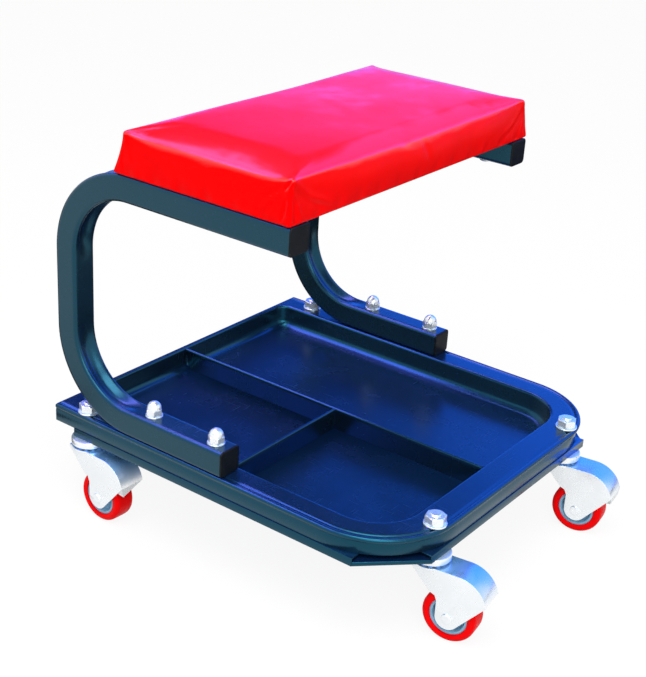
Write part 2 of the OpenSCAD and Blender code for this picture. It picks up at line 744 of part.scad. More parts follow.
tray();
long_divider();
cross_divider();
left_rail();
right_rail();
front_rail();
rear_rail();
front_left_plate();
front_right_plate();
rear_left_plate();
rear_right_plate();
stem_sleeves();
foot_sleeves();
left_frame();
right_frame();
tube_plugs();
foot_bolts();
foot_washers();
dome_nuts();
caster_stems();
stem_washers();
stem_nuts();
caster_races();
seat_board();
seat_foam();
seat_cover();
seat_screws();
tee_nuts();
fork(0);  // fl_fork
balls(0);  // fl_balls
axle(0);  // fl_axle
axle_sleeve(0);  // fl_sleeve
hub(0);  // fl_hub
tread(0);  // fl_tread
fork(1);  // fr_fork
balls(1);  // fr_balls
axle(1);  // fr_axle
axle_sleeve(1);  // fr_sleeve
hub(1);  // fr_hub
tread(1);  // fr_tread
fork(2);  // rl_fork
balls(2);  // rl_balls
axle(2);  // rl_axle
axle_sleeve(2);  // rl_sleeve
hub(2);  // rl_hub
tread(2);  // rl_tread
fork(3);  // rr_fork
balls(3);  // rr_balls
axle(3);  // rr_axle
axle_sleeve(3);  // rr_sleeve
hub(3);  // rr_hub
tread(3);  // rr_tread
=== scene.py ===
"""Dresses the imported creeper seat: pressed tray, bent tube frames, padded seat, casters and studio."""
import json
import math

import bmesh
import bpy
import numpy as np
from bpy.props import FloatProperty, FloatVectorProperty, IntProperty, PointerProperty
from mathutils import Matrix, Vector


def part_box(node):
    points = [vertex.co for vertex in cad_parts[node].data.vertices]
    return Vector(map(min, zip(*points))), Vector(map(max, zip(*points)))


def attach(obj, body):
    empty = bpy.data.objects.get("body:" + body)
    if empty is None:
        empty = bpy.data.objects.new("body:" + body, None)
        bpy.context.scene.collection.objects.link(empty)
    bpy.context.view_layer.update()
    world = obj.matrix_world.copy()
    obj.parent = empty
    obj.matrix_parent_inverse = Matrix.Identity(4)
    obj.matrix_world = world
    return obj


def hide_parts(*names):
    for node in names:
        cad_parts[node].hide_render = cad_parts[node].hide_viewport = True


bl_info = {
    "name": "Creeper Seat",
    "version": (1, 0, 0),
    "blender": (4, 5, 0),
    "location": "View3D > Sidebar > Creeper Seat",
    "description": "Builds a rolling work seat around its packed frame",
    "category": "Object",
}

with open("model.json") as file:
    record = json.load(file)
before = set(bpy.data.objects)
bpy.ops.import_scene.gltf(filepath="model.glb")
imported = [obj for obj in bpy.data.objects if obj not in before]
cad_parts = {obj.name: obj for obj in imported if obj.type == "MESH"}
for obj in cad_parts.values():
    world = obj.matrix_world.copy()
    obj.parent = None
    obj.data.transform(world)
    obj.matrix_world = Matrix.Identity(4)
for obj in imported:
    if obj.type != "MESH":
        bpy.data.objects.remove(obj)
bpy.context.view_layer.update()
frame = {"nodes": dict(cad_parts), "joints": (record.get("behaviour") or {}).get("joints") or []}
NODES = frame["nodes"]
JOINTS = {joint["name"]: joint for joint in frame["joints"]}
MM = 0.001
CORNERS = ("fl", "fr", "rl", "rr")


def box_mm(node):
    """Lowest and highest corner of a node, in millimetres."""
    low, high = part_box(node)
    return np.array(low) / MM, np.array(high) / MM


def joint_mm(name):
    """Place of a joint, in millimetres."""
    return np.array(JOINTS[name]["pos_m"]) / MM


TRAY_LOW, TRAY_HIGH = box_mm("tray")
SEAT_LOW, SEAT_HIGH = box_mm("seat_cover")
SEAT_HALF = (SEAT_HIGH - SEAT_LOW)[:2] / 2
TUBE_HIGH = box_mm("left_frame")[1]
FLANGE_Z = TRAY_HIGH[2]
PLUG_LIP = 1.6  # how far a plug's head stands out of its tube
FOOT_LENGTH = 207  # from a frame's rear to the face of its lower plug, which the node boxes don't give
FOOT_FRONT = TUBE_HIGH[1] - FOOT_LENGTH + PLUG_LIP


# Sizes and colours that a user would change

def length_prop(name, text, value, low=0.0, high=1000.0):
    """A size in millimetres."""
    return FloatProperty(name=name, description=text + ", in mm", default=value, min=low, max=high)


def amount_prop(name, text, value, **limits):
    return FloatProperty(name=name, description=text, default=value, min=0, **limits)


def colour_prop(name, text, value):
    return FloatVectorProperty(name=name, description=text, default=value, size=3, min=0, max=1,
                               subtype="COLOR")


class CreeperTraySizes(bpy.types.PropertyGroup):
    sheet: length_prop("Sheet", "Thickness of the pressed sheet", 1.6, 0.5, 4)
    skirt: length_prop("Skirt", "Height of the skirt below the flange", 18, 8, 40)
    rim_radius: length_prop("Rim radius", "Radius of the rim at the front corners", 80, 20, 120)
    skirt_radius: length_prop("Skirt radius", "Radius of the skirt at the front corners", 88, 20, 130)
    bead: length_prop("Bead", "Radius of the bead along the rim", 2.6, 1, 5)
    side_flange: length_prop("Side flange", "Width of the flange along each side", 28.5, 15, 50)
    front_flange: length_prop("Front flange", "Width of the flange along the front", 33, 15, 60)
    rear_flange: length_prop("Rear flange", "Width of the rim behind the wells", 5, 3, 30)
    well_front_radius: length_prop("Front well radius", "Radius of the wells' front corners", 47, 5, 80)
    well_rear_radius: length_prop("Rear well radius", "Radius of the wells' rear corners", 14, 5, 60)
    divider_left: length_prop("Divider offset", "Way of the long divider left of the middle", 4.5, -60, 60)


class CreeperTubeSizes(bpy.types.PropertyGroup):
    width: length_prop("Tube width", "Width of the square tube", 25.4, 15, 40)
    corner: length_prop("Tube corner", "Corner radius of the square tube", 3.6, 1, 8)
    bend: length_prop("Bend radius", "Radius of the bends along the middle of the tube", 76.2, 40, 120)
    dish: length_prop("Bend dish", "How far the inner wall is pressed in at the bends", 4.2, 0, 8)
    flatten: length_prop("Bend flat", "How far the outer wall sinks at the bends", 0.9, 0, 4)


class CreeperSeatSizes(bpy.types.PropertyGroup):
    crown: length_prop("Crown", "Rise of the seat's middle over its top edge", 4, 0, 20)
    draw_in: length_prop("Draw-in", "How far the ends draw in towards the top", 5, 0, 20)
    draw_front: length_prop("Front draw-in", "How far the front and rear draw in towards the top", 3, 0, 20)
    edge: length_prop("Top edge", "Radius of the seat's top edge", 5, 1, 20)
    foot_edge: length_prop("Foot edge", "Radius of the seat's lower edge", 2.5, 1, 20)
    roll: length_prop("Rolled ends", "How far the top edge sinks along the two ends", 3, 0, 10)
    ear: length_prop("Ears", "How far the top corners point outwards", 2, 0, 8)
    flare: length_prop("Flare", "How far the foot of the cover stands out", 1.5, 0, 5)
    rear_flare: length_prop("Rear flare", "How much further the foot stands out at the rear", 5, 0, 10)
    start_in: length_prop("Start", "How much smaller the pad starts before it swells", 1.5, 0, 10)
    pressure: amount_prop("Pressure", "Air pressure that swells the cover", 4, max=20)
    swell: length_prop("Swell", "Furthest that the pressure may move the cover", 4, 0, 20)
    turned: length_prop("Turned edge", "Width of the cover turned under the board", 24, 10, 60)
    staples: IntProperty(name="Staples", description="Staples along the turned edge", default=64,
                         min=8, max=200)


class CreeperFinish(bpy.types.PropertyGroup):
    paint: colour_prop("Paint", "Dark blue gloss paint of the tray and its base", (0.004, 0.009, 0.018))
    # Painted sky light: a bluer paint colour for faces that look up
    paint_painted_sky: colour_prop("Paint, up", "Paint on faces that look up", (0.0025, 0.012, 0.050))
    paint_sheen: colour_prop("Paint sheen", "Light that the paint throws back", (0.09, 0.66, 1.0))
    tube: colour_prop("Tube paint", "Blue black gloss paint of the bent tubes", (0.005, 0.014, 0.024))
    # Painted sky light: a bluer tube colour for faces that look up
    tube_painted_sky: colour_prop("Tube paint, up", "Tube paint on faces that look up", (0.004, 0.024, 0.09))
    tube_sheen: colour_prop("Tube sheen", "Light that the tubes throw back", (0.13, 0.58, 0.84))
    vinyl: colour_prop("Vinyl", "Red gloss vinyl of the seat", (0.96, 0.0012, 0.002))
    red_sheen: colour_prop("Red sheen", "Light that the vinyl and the treads throw back", (1.0, 0.02, 0.03))
    zinc: colour_prop("Zinc", "Bright zinc plate of the casters and fixings", (0.92, 0.95, 0.97))
    # Painted reflection of the blue sky: a bluer zinc for faces that look up
    zinc_painted_sky: colour_prop("Zinc, up", "Zinc on faces that look up", (0.62, 0.82, 1.0))
    # A stronger painted reflection of the blue sky, on the forks' faces that look up
    fork_painted_sky: colour_prop("Fork, up", "The forks' zinc on faces that look up", (0.20, 0.52, 1.0))
    tyre: colour_prop("Tyre", "Red of the wheels' treads", (0.98, 0.003, 0.004))
    hub: colour_prop("Hub", "Grey blue of the wheels' centres", (0.23, 0.42, 0.58))
    plug: colour_prop("Plugs", "Black of the tubes' end plugs", (0.002, 0.003, 0.004))
    plywood: colour_prop("Plywood", "Pale wood of the seat board", (0.55, 0.38, 0.21))


class CreeperStudio(bpy.types.PropertyGroup):
    key: amount_prop("Key light", "Power of the large lamp beside the camera", 29, unit="POWER")
    top: amount_prop("Top light", "Power of the lamp overhead", 29, unit="POWER")
    card: amount_prop("Blue card", "Brightness of the blue card behind the seat", 3.5)
    card_foot: amount_prop("Card, shaded", "Brightness of the blue card where it falls off", 0.2)
    roll_card: amount_prop("High card", "Brightness of the card over the rear", 10)
    sky_tint: colour_prop("Sky tint", "Colour of the card behind the seat", (0.025, 0.17, 1.0))
    roll_tint: colour_prop("High tint", "Colour of the card over the rear", (0.5, 0.26, 1.0))
    fill: amount_prop("Fill", "Even light from all round", 0.62, max=2)
    floor_shade: amount_prop("Floor shade", "Share of the shadow that the floor shows", 0.10, max=1,
                             subtype="FACTOR")


# Meshes

WELD = 0.002 * MM  # points closer than this are one
NODE_WELD = 0.004 * MM  # the same for the loose triangles of a node
FLAT = math.radians(0.6)  # triangles that turn by less are one face


def new_object(name, data):
    piece = bpy.data.objects.new(name, data)
    bpy.context.scene.collection.objects.link(piece)
    return piece


def smooth(mesh, degrees):
    """Shades a mesh smooth, with sharp edges where its faces turn by more than an angle."""
    mesh.shade_smooth()
    mesh.set_sharp_from_angle(angle=math.radians(degrees))


def mesh_of(name, points, faces, degrees=32):
    """A mesh from points in millimetres, with its faces turned outwards."""
    mesh = bpy.data.meshes.new(name)
    mesh.from_pydata((np.asarray(points, float) * MM).tolist(), [], [list(f) for f in faces])
    b = bmesh.new()
    b.from_mesh(mesh)
    bmesh.ops.remove_doubles(b, verts=b.verts, dist=WELD)
    bmesh.ops.recalc_face_normals(b, faces=b.faces)
    b.to_mesh(mesh)
    b.free()
    smooth(mesh, degrees)
    return mesh


def joined_mesh(name, *meshes):
    """One mesh from several."""
    b = bmesh.new()
    for mesh in meshes:
        b.from_mesh(mesh)
    made = bpy.data.meshes.new(name)
    b.to_mesh(made)
    b.free()
    smooth(made, 30)
    return made


def skin(loops, joined=False):
    """Points and faces of a skin over closed loops of equal length, capped or joined in a ring."""
    n = len(loops[0])
    points = np.concatenate([np.asarray(loop, float) for loop in loops])
    faces = []
    for i in range(len(loops) if joined else len(loops) - 1):
        a, b = i * n, (i + 1) % len(loops) * n
        faces += [(a + k, a + (k + 1) % n, b + (k + 1) % n, b + k) for k in range(n)]
    if not joined:
        faces += [tuple(range(n)), tuple(reversed(range(len(points) - n, len(points))))]
    return points, faces


def full_turn(steps):
    """Angles of even steps round a circle."""
    return np.linspace(0, 2 * math.pi, steps, endpoint=False)


def lathe(profile, steps=64):
    """Skin of a closed profile of radius and height, turned about Z."""
    loops = [np.array([[r * math.cos(a), r * math.sin(a), z] for r, z in profile]) for a in full_turn(steps)]
    return skin(loops, joined=True)


def capped_lathe(profile, steps=48):
    """Skin of an open profile of radius and height, turned about Z and capped at both ends."""
    loops = [np.array([[r * math.cos(a), r * math.sin(a), z] for a in full_turn(steps)]) for r, z in profile]
    return skin(loops)


def hex_skin(across, profile, steps=96):
    """Skin of a hexagonal bar, by its width across, with its corners cut to a radius at each height."""
    angles = full_turn(steps)
    flat = across / 2 / np.cos((angles % (math.pi / 3)) - math.pi / 6)
    loops = []
    for limit, z in profile:
        r = np.minimum(flat, limit)
        loops.append(np.stack([r * np.cos(angles), r * np.sin(angles), np.full(steps, z)], 1))
    return skin(loops)


def arc(centre, radius, start, end, steps):
    """Points of an arc in a plane, with its ends, by degrees."""
    return [(centre[0] + radius * math.cos(a), centre[1] + radius * math.sin(a))
            for a in np.radians(np.linspace(start, end, steps))]


def merged(parts):
    """Points and faces of several skins together."""
    points, faces, base = [], [], 0
    for p, f in parts:
        points.append(np.asarray(p, float))
        faces += [tuple(i + base for i in face) for face in f]
        base += len(p)
    return np.concatenate(points), faces


def finish_modifiers(piece):
    """Turns a piece's modifiers into its plain mesh."""
    graph = bpy.context.evaluated_depsgraph_get()
    graph.update()
    made = bpy.data.meshes.new_from_object(piece.evaluated_get(graph), preserve_all_data_layers=True,
                                           depsgraph=graph)
    piece.modifiers.clear()
    piece.data = made


def bevelled(node, width, segments=2, degrees=35):
    """A copy of a node with its loose triangles joined and its edges rounded."""
    b = bmesh.new()
    b.from_mesh(NODES[node].data)
    bmesh.ops.remove_doubles(b, verts=b.verts, dist=NODE_WELD)
    bmesh.ops.dissolve_limit(b, angle_limit=FLAT, verts=b.verts, edges=b.edges)
    mesh = bpy.data.meshes.new(node + "_rounded")
    b.to_mesh(mesh)
    b.free()
    piece = new_object(mesh.name, mesh)
    rounding = piece.modifiers.new("Rounded edges", "BEVEL")
    rounding.width = width * MM
    rounding.segments = segments
    rounding.limit_method = "ANGLE"
    rounding.angle_limit = math.radians(degrees)
    finish_modifiers(piece)
    smooth(piece.data, degrees)
    return piece


def dress(piece, body, slot, material, *nodes):
    """Gives a finished piece its material and body, and hides the nodes that it stands for. Its slot is not
    used.
    """
    piece.data.materials.clear()
    piece.data.materials.append(MATERIALS[material])
    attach(piece, body)
    if nodes:
        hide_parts(*nodes)


def shell(name, surface, degrees, body, slot, material, node, place=Matrix.Identity(4)):
    """Makes a piece from a skin, moves it to its place and dresses it."""
    mesh = mesh_of(name, *surface, degrees)
    mesh.transform(place)
    dress(new_object(name, mesh), body, slot, material, node)


def coat(node, material):
    """Gives a node that stays the material in place of its own."""
    for slot in NODES[node].material_slots:
        slot.material = MATERIALS[material]


# Node trees

class Tree:
    """Adds nodes to a tree and links what is given to them."""

    def __init__(self, tree):
        self.tree = tree

    def feed(self, socket, value):
        """Links an input to a node's output, or sets its value."""
        if isinstance(value, bpy.types.NodeSocket):
            self.tree.links.new(value, socket)
        elif socket.type == "RGBA":
            socket.default_value = (*value[:3], 1)
        else:
            socket.default_value = value

    def add(self, kind, inputs=None, **settings):
        node = self.tree.nodes.new(kind)
        for key, value in settings.items():
            setattr(node, key, value)
        for key, value in (inputs or {}).items():
            self.feed(node.inputs[key], value)
        return node

    def math(self, operation, a, b=0.0):
        return self.add("ShaderNodeMath", {0: a, 1: b}, operation=operation).outputs[0]

    def ramp(self, value, low, high, to_low=0.0, to_high=1.0):
        node = self.add("ShaderNodeMapRange", {"Value": value, "From Min": low, "From Max": high,
                                               "To Min": to_low, "To Max": to_high})
        return node.outputs["Result"]

    def mix(self, factor, a, b):
        return self.add("ShaderNodeMix", {0: factor, 6: a, 7: b}, data_type="RGBA").outputs[2]

    def noise(self, vector, scale, detail=2.0, roughness=0.5):
        return self.add("ShaderNodeTexNoise", {"Vector": vector, "Scale": scale, "Detail": detail,
                                               "Roughness": roughness}).outputs["Fac"]

    def seen(self):
        """Rays that show a surface to the camera, straight or by way of a reflection."""
        path = self.add("ShaderNodeLightPath").outputs
        direct = self.math("MAXIMUM", path["Is Camera Ray"], path["Is Glossy Ray"])
        return self.math("MAXIMUM", direct, path["Is Transmission Ray"])


def new_tree(name, kind, inputs, outputs):
    """An empty group, and its input and output nodes' sockets. A socket is given by its type and value."""
    tree = bpy.data.node_groups.new(name, kind)
    for way, sockets in (("INPUT", inputs), ("OUTPUT", outputs)):
        for key, (socket_type, value) in sockets.items():
            socket = tree.interface.new_socket(name=key, in_out=way, socket_type="NodeSocket" + socket_type)
            if value is not None:
                socket.default_value = value
    t = Tree(tree)
    return t, t.add("NodeGroupInput").outputs, t.add("NodeGroupOutput").inputs


OUTPUT = ("Float", None)


def make_grain_group():
    """Fine relief, such as orange peel in paint or the pores of vinyl, with a slow cloudy change."""
    inputs = {"Vector": ("Vector", None), "Grain": ("Float", 900.0), "Cloud": ("Float", 30.0)}
    t, given, out = new_tree("Fine Grain", "ShaderNodeTree", inputs, {"Height": OUTPUT, "Cloud": OUTPUT})
    t.feed(out["Height"], t.noise(given["Vector"], given["Grain"], 2.0, 0.55))
    t.feed(out["Cloud"], t.ramp(t.noise(given["Vector"], given["Cloud"], 4.0, 0.6), 0.3, 0.7))
    return t.tree


def make_scuff_group():
    """Short fine scratches that run two ways, and specks of dust."""
    inputs = {"Vector": ("Vector", None), "Amount": ("Float", 0.3)}
    t, given, out = new_tree("Scuffs", "ShaderNodeTree", inputs, {"Scratches": OUTPUT, "Dust": OUTPUT})
    lines = []
    for turn, stretch in ((0.35, (900.0, 30.0, 60.0)), (1.35, (40.0, 800.0, 50.0))):
        mapped = t.add("ShaderNodeMapping", {"Vector": given["Vector"], "Rotation": (0.2, 0.1, turn),
                                             "Scale": stretch}).outputs[0]
        lines.append(t.ramp(t.noise(mapped, 1.0, 1.0), 0.68, 0.74))
    where = t.ramp(t.noise(given["Vector"], 14.0), 0.5, 0.7)
    scratches = t.math("MULTIPLY", t.math("MAXIMUM", *lines), where)
    specks = t.ramp(t.noise(given["Vector"], 700.0, 1.0), 0.7, 0.78)
    t.feed(out["Scratches"], t.math("MULTIPLY", scratches, given["Amount"]))
    t.feed(out["Dust"], t.math("MULTIPLY", specks, given["Amount"]))
    return t.tree


def make_sky_group():
    """How far a face looks up, softened by the cloud. The paint and the zinc mix painted sky light into their
    colour by it, and the vinyl sets its coat by it.
    """
    inputs = {"Cloud": ("Float", 0.5), "From": ("Float", 0.1), "To": ("Float", 0.95)}
    t, given, out = new_tree("Sky Facing", "ShaderNodeTree", inputs, {"Up": OUTPUT})
    normal = t.add("ShaderNodeNewGeometry").outputs["Normal"]
    up = t.add("ShaderNodeSeparateXYZ", {0: normal}).outputs["Z"]
    softness = t.math("MULTIPLY", t.math("SUBTRACT", given["Cloud"], 0.5), 0.12)
    t.feed(out["Up"], t.ramp(t.math("ADD", up, softness), given["From"], given["To"]))
    return t.tree


# Finishes

GROUPS = {}
MATERIALS = {}
WHITE = (1.0, 1.0, 1.0)


class Finish(Tree):
    """A material's tree with its fine relief and slow cloud and, if it is worn, its scratches and dust."""

    def __init__(self, name, fine, cloudy, wear=None):
        material = bpy.data.materials.new(name)
        material.use_nodes = True
        super().__init__(material.node_tree)
        self.place = self.add("ShaderNodeTexCoord").outputs["Object"]
        relief = self.grouped("grain", Vector=self.place, Grain=fine, Cloud=cloudy)
        self.height, self.cloud = relief["Height"], relief["Cloud"]
        if wear is not None:
            marks = self.grouped("scuffs", Vector=self.place, Amount=wear)
            self.scratches, self.dust = marks["Scratches"], marks["Dust"]
        MATERIALS[name] = material

    def grouped(self, key, **inputs):
        return self.add("ShaderNodeGroup", inputs, node_tree=GROUPS[key]).outputs

    def sky(self, low, high):
        """How far a face looks up, from none at the low value to all at the high one."""
        return self.grouped("sky", Cloud=self.cloud, From=low, To=high)["Up"]

    def tinted(self, colour, mask, share, other):
        """A colour that turns into a share of another one where a mask is."""
        return self.mix(self.math("MULTIPLY", mask, share), colour, other)

    def rough(self, low, high, scratched):
        """A roughness that wanders with the cloud and rises in the scratches."""
        rubbed = self.math("MULTIPLY", self.scratches, scratched)
        return self.math("ADD", self.ramp(self.cloud, 0, 1, low, high), rubbed)

    def end(self, height, strength, distance, **sockets):
        """Gives the shader its relief and sets its sockets."""
        inputs = self.tree.nodes["Principled BSDF"].inputs
        relief = self.add("ShaderNodeBump", {"Height": height, "Strength": strength, "Distance": distance})
        self.feed(inputs["Normal"], relief.outputs[0])
        for key, value in sockets.items():
            self.feed(inputs[key.replace("_", " ")], value)


def darker(colour, share):
    return [c * share for c in colour]


def make_paint(name, colour, painted_sky_colour, sheen):
    t = Finish(name, 1400.0, 22.0, 0.35)
    # Faces that look up take the bluer colour: painted sky light
    shade = t.mix(t.sky(0.1, 0.95), colour, painted_sky_colour)
    shade = t.tinted(shade, t.scratches, 0.5, (0.06, 0.10, 0.20))
    shade = t.tinted(shade, t.dust, 0.4, (0.10, 0.16, 0.26))
    t.end(t.height, 0.10, 0.0002, Base_Color=shade, Roughness=t.rough(0.22, 0.30, 0.3), IOR=1.55,
          Specular_IOR_Level=0.95, Specular_Tint=sheen)


def make_vinyl(finish):
    t = Finish("Red vinyl", 1100.0, 26.0, 0.2)
    cells = t.add("ShaderNodeTexVoronoi", {"Vector": t.place, "Scale": 850.0}, feature="SMOOTH_F1").outputs
    pores = t.math("ADD", t.math("MULTIPLY", cells["Distance"], 0.7), t.math("MULTIPLY", t.height, 0.3))
    colour = t.mix(t.cloud, finish.vinyl, darker(finish.vinyl, 0.9))
    colour = t.tinted(colour, t.dust, 0.25, (0.95, 0.25, 0.30))
    # The cover shines most on its folds and its rolled edge, and least on the flat top
    edge = t.ramp(t.sky(0.55, 0.80), 0, 1, 1.0, 0.36)
    flat = t.ramp(t.sky(0.90, 0.99), 0, 1, 1.0, 0.07)
    gloss = t.math("MULTIPLY", t.sky(0.34, 0.56), t.math("MULTIPLY", edge, flat))
    t.end(pores, 0.12, 0.0003, Base_Color=colour, Roughness=t.rough(0.30, 0.38, 0.3), IOR=1.5,
          Specular_IOR_Level=0.1, Specular_Tint=finish.red_sheen,
          Coat_Weight=gloss, Coat_Roughness=0.16, Coat_IOR=1.8)


def make_zinc(name, plain, painted_sky_tone):
    t = Finish(name, 1800.0, 60.0, 0.25)
    # Faces that look up take the bluer colour: a painted reflection of the sky
    colour = t.mix(t.sky(0.3, 0.9), plain, painted_sky_tone)
    colour = t.tinted(colour, t.cloud, 0.15, darker(plain, 0.85))
    colour = t.tinted(colour, t.dust, 0.12, (0.45, 0.44, 0.40))
    t.end(t.height, 0.04, 0.0001, Base_Color=colour, Roughness=t.rough(0.22, 0.34, 0.2), Metallic=0.7)


def make_tyre(finish):
    t = Finish("Red tyre", 1500.0, 80.0, 0.3)
    colour = t.mix(t.cloud, finish.tyre, darker(finish.tyre, 0.92))
    colour = t.tinted(colour, t.dust, 0.2, (0.35, 0.10, 0.09))
    t.end(t.height, 0.12, 0.0002, Base_Color=colour, Roughness=t.rough(0.40, 0.52, 0.25), IOR=1.48,
          Specular_IOR_Level=0.12, Specular_Tint=finish.red_sheen)


def make_plastic(name, colour, low, high):
    t = Finish(name, 2200.0, 70.0, 0.4)
    lighter = [min(1.0, c * 1.35 + 0.004) for c in colour]
    shade = t.tinted(t.mix(t.cloud, colour, lighter), t.dust, 0.2, (0.4, 0.42, 0.45))
    t.end(t.height, 0.15, 0.0002, Base_Color=shade, Roughness=t.rough(low, high, 0.2), IOR=1.46,
          Specular_IOR_Level=0.18)


def make_plywood(finish):
    t = Finish("Birch plywood", 1300.0, 12.0)
    stretched = t.add("ShaderNodeMapping", {"Vector": t.place, "Scale": (6.0, 90.0, 400.0)}).outputs[0]
    rings = t.add("ShaderNodeTexWave", {"Vector": stretched, "Scale": 0.9, "Distortion": 6.0, "Detail": 3.0},
                  bands_direction="Y").outputs["Fac"]
    fibre = t.noise(stretched, 5.0, 6.0, 0.7)
    colour = t.mix(t.math("MULTIPLY", rings, 0.5), finish.plywood, darker(finish.plywood, 0.72))
    colour = t.tinted(colour, fibre, 0.35, (0.30, 0.18, 0.08))
    grain = t.math("ADD", fibre, t.math("MULTIPLY", t.height, 0.3))
    t.end(grain, 0.25, 0.0003, Base_Color=colour, Roughness=t.ramp(t.cloud, 0, 1, 0.62, 0.78), IOR=1.4)


def empty_material(name):
    """A material without a shader, and its tree."""
    material = bpy.data.materials.new(name)
    material.use_nodes = True
    material.node_tree.nodes.clear()
    MATERIALS[name] = material
    return material, Tree(material.node_tree)


def make_floor(studio):
    """Pale floor: white to the camera and in reflections, with part of the shadow kept."""
    _, t = empty_material("Pale floor")
    place = t.add("ShaderNodeTexCoord").outputs["Object"]
    bounced = t.add("ShaderNodeLightPath").outputs["Is Diffuse Ray"]
    # Greyer to the light that it throws back, so that the object's underside stays in the shade
    tone = t.mix(t.noise(place, 3.0, 3.0), (0.96, 0.96, 0.96), WHITE)
    tone = t.mix(bounced, tone, (0.45, 0.45, 0.45))
    lit = t.add("ShaderNodeBsdfDiffuse", {"Color": tone}).outputs[0]
    white = t.add("ShaderNodeEmission", {"Color": WHITE, "Strength": 1.0}).outputs[0]
    share = t.math("MULTIPLY", t.seen(), 1.0 - studio.floor_shade)
    shown = t.add("ShaderNodeMixShader", {0: share, 1: lit, 2: white}).outputs[0]
    t.add("ShaderNodeOutputMaterial", {"Surface": shown})


CARD_RADIUS = 6.0  # metres from the middle of the stage to the blue card
FALL_HEIGHT = math.radians(24)  # height at which the card's light falls off from FALL_START on
FALL_START, FALL_END = math.radians(30), math.radians(39)
FALL_SLANT = 1.2  # how much further round the fall starts for each degree lower


def make_card(name, colour, bright, foot=None):
    """A card that reflections see. With a foot, its light falls off upwards and towards the left."""
    material, t = empty_material(name)
    material.cycles.emission_sampling = "NONE"
    if foot is not None:
        place = t.add("ShaderNodeSeparateXYZ", {0: t.add("ShaderNodeTexCoord").outputs["Object"]}).outputs
        turn = t.math("ARCTAN2", place["Y"], place["X"])
        height = t.math("ARCTANGENT", t.math("DIVIDE", place["Z"], CARD_RADIUS))
        slant = t.math("MULTIPLY", t.math("SUBTRACT", height, FALL_HEIGHT), FALL_SLANT)
        bright = t.ramp(t.math("ADD", turn, slant), FALL_START, FALL_END, bright, foot)
    light = t.add("ShaderNodeEmission", {"Color": colour, "Strength": bright}).outputs[0]
    t.add("ShaderNodeOutputMaterial", {"Surface": light})


def make_materials():
    """Builds the shader groups and each finish once."""
    if MATERIALS:
        return
    finish = bpy.context.scene.creeper_finish
    studio = bpy.context.scene.creeper_studio
    GROUPS.update(grain=make_grain_group(), scuffs=make_scuff_group(), sky=make_sky_group())
    make_paint("Blue gloss paint", finish.paint, finish.paint_painted_sky, finish.paint_sheen)
    make_paint("Black gloss paint", finish.tube, finish.tube_painted_sky, finish.tube_sheen)
    make_vinyl(finish)
    make_zinc("Bright zinc", finish.zinc, finish.zinc_painted_sky)
    make_zinc("Blue zinc", finish.zinc, finish.fork_painted_sky)
    make_tyre(finish)
    make_plastic("Hub plastic", finish.hub, 0.35, 0.48)
    make_plastic("Plug plastic", finish.plug, 0.45, 0.60)
    make_plywood(finish)
    make_floor(studio)
    make_card("Blue card", studio.sky_tint, studio.card, studio.card_foot)
    make_card("High card", studio.roll_tint, studio.roll_card)
    make_card("Black flag", (0.0, 0.0, 0.0), 0.0)


# Geometry node trees

def growing_tree(name, **inputs):
    """A geometry tree that takes points and a material besides its own inputs."""
    sockets = {key.replace("_", " "): value for key, value in inputs.items()}
    return new_tree(name, "GeometryNodeTree",
                    {"Geometry": ("Geometry", None), **sockets, "Material": ("Material", None)},
                    {"Geometry": ("Geometry", None)})


def end_tree(t, given, out, geometry):
    """Ends a tree in plain faces with their material."""
    real = t.add("GeometryNodeRealizeInstances", {0: geometry}).outputs[0]
    done = t.add("GeometryNodeSetMaterial", {"Geometry": real, "Material": given["Material"]}).outputs[0]
    t.feed(out[0], done)
    return t.tree


def instances(t, points, instance, **rotation):
    inputs = {"Points": points, "Instance": instance, **rotation}
    return t.add("GeometryNodeInstanceOnPoints", inputs).outputs[0]


def make_copies_tree():
    """Sets a copy of an object on each point, turned at random about Z."""
    t, given, out = growing_tree("Copies On Points", Copied=("Object", None), Random_Turn=("Float", 0.0),
                                 Seed=("Int", 1))
    source = t.add("GeometryNodeObjectInfo", {"Object": given["Copied"]}).outputs["Geometry"]
    turn = t.add("FunctionNodeRandomValue", {2: 0.0, 3: given["Random Turn"], "Seed": given["Seed"]},
                 data_type="FLOAT").outputs[1]
    spin = t.add("ShaderNodeCombineXYZ", {"Z": turn}).outputs[0]
    euler = t.add("FunctionNodeEulerToRotation", {0: spin}).outputs[0]
    points = t.add("GeometryNodeMeshToPoints", {0: given["Geometry"]}).outputs[0]
    return end_tree(t, given, out, instances(t, points, source, Rotation=euler))


def make_ball_tree():
    """A ring of balls about each point."""
    t, given, out = growing_tree("Ball Ring", Balls=("Int", 12), Ring_Radius=("Float", 0.012),
                                 Ball_Radius=("Float", 0.0025))
    circle = t.add("GeometryNodeMeshCircle", {"Vertices": given["Balls"], "Radius": given["Ring Radius"]})
    ball = t.add("GeometryNodeMeshUVSphere", {"Segments": 20, "Rings": 12, "Radius": given["Ball Radius"]})
    round_ball = t.add("GeometryNodeSetShadeSmooth", {0: ball.outputs[0]}).outputs[0]
    points = t.add("GeometryNodeMeshToPoints", {0: given["Geometry"]}).outputs[0]
    return end_tree(t, given, out, instances(t, points, instances(t, circle.outputs[0], round_ball)))


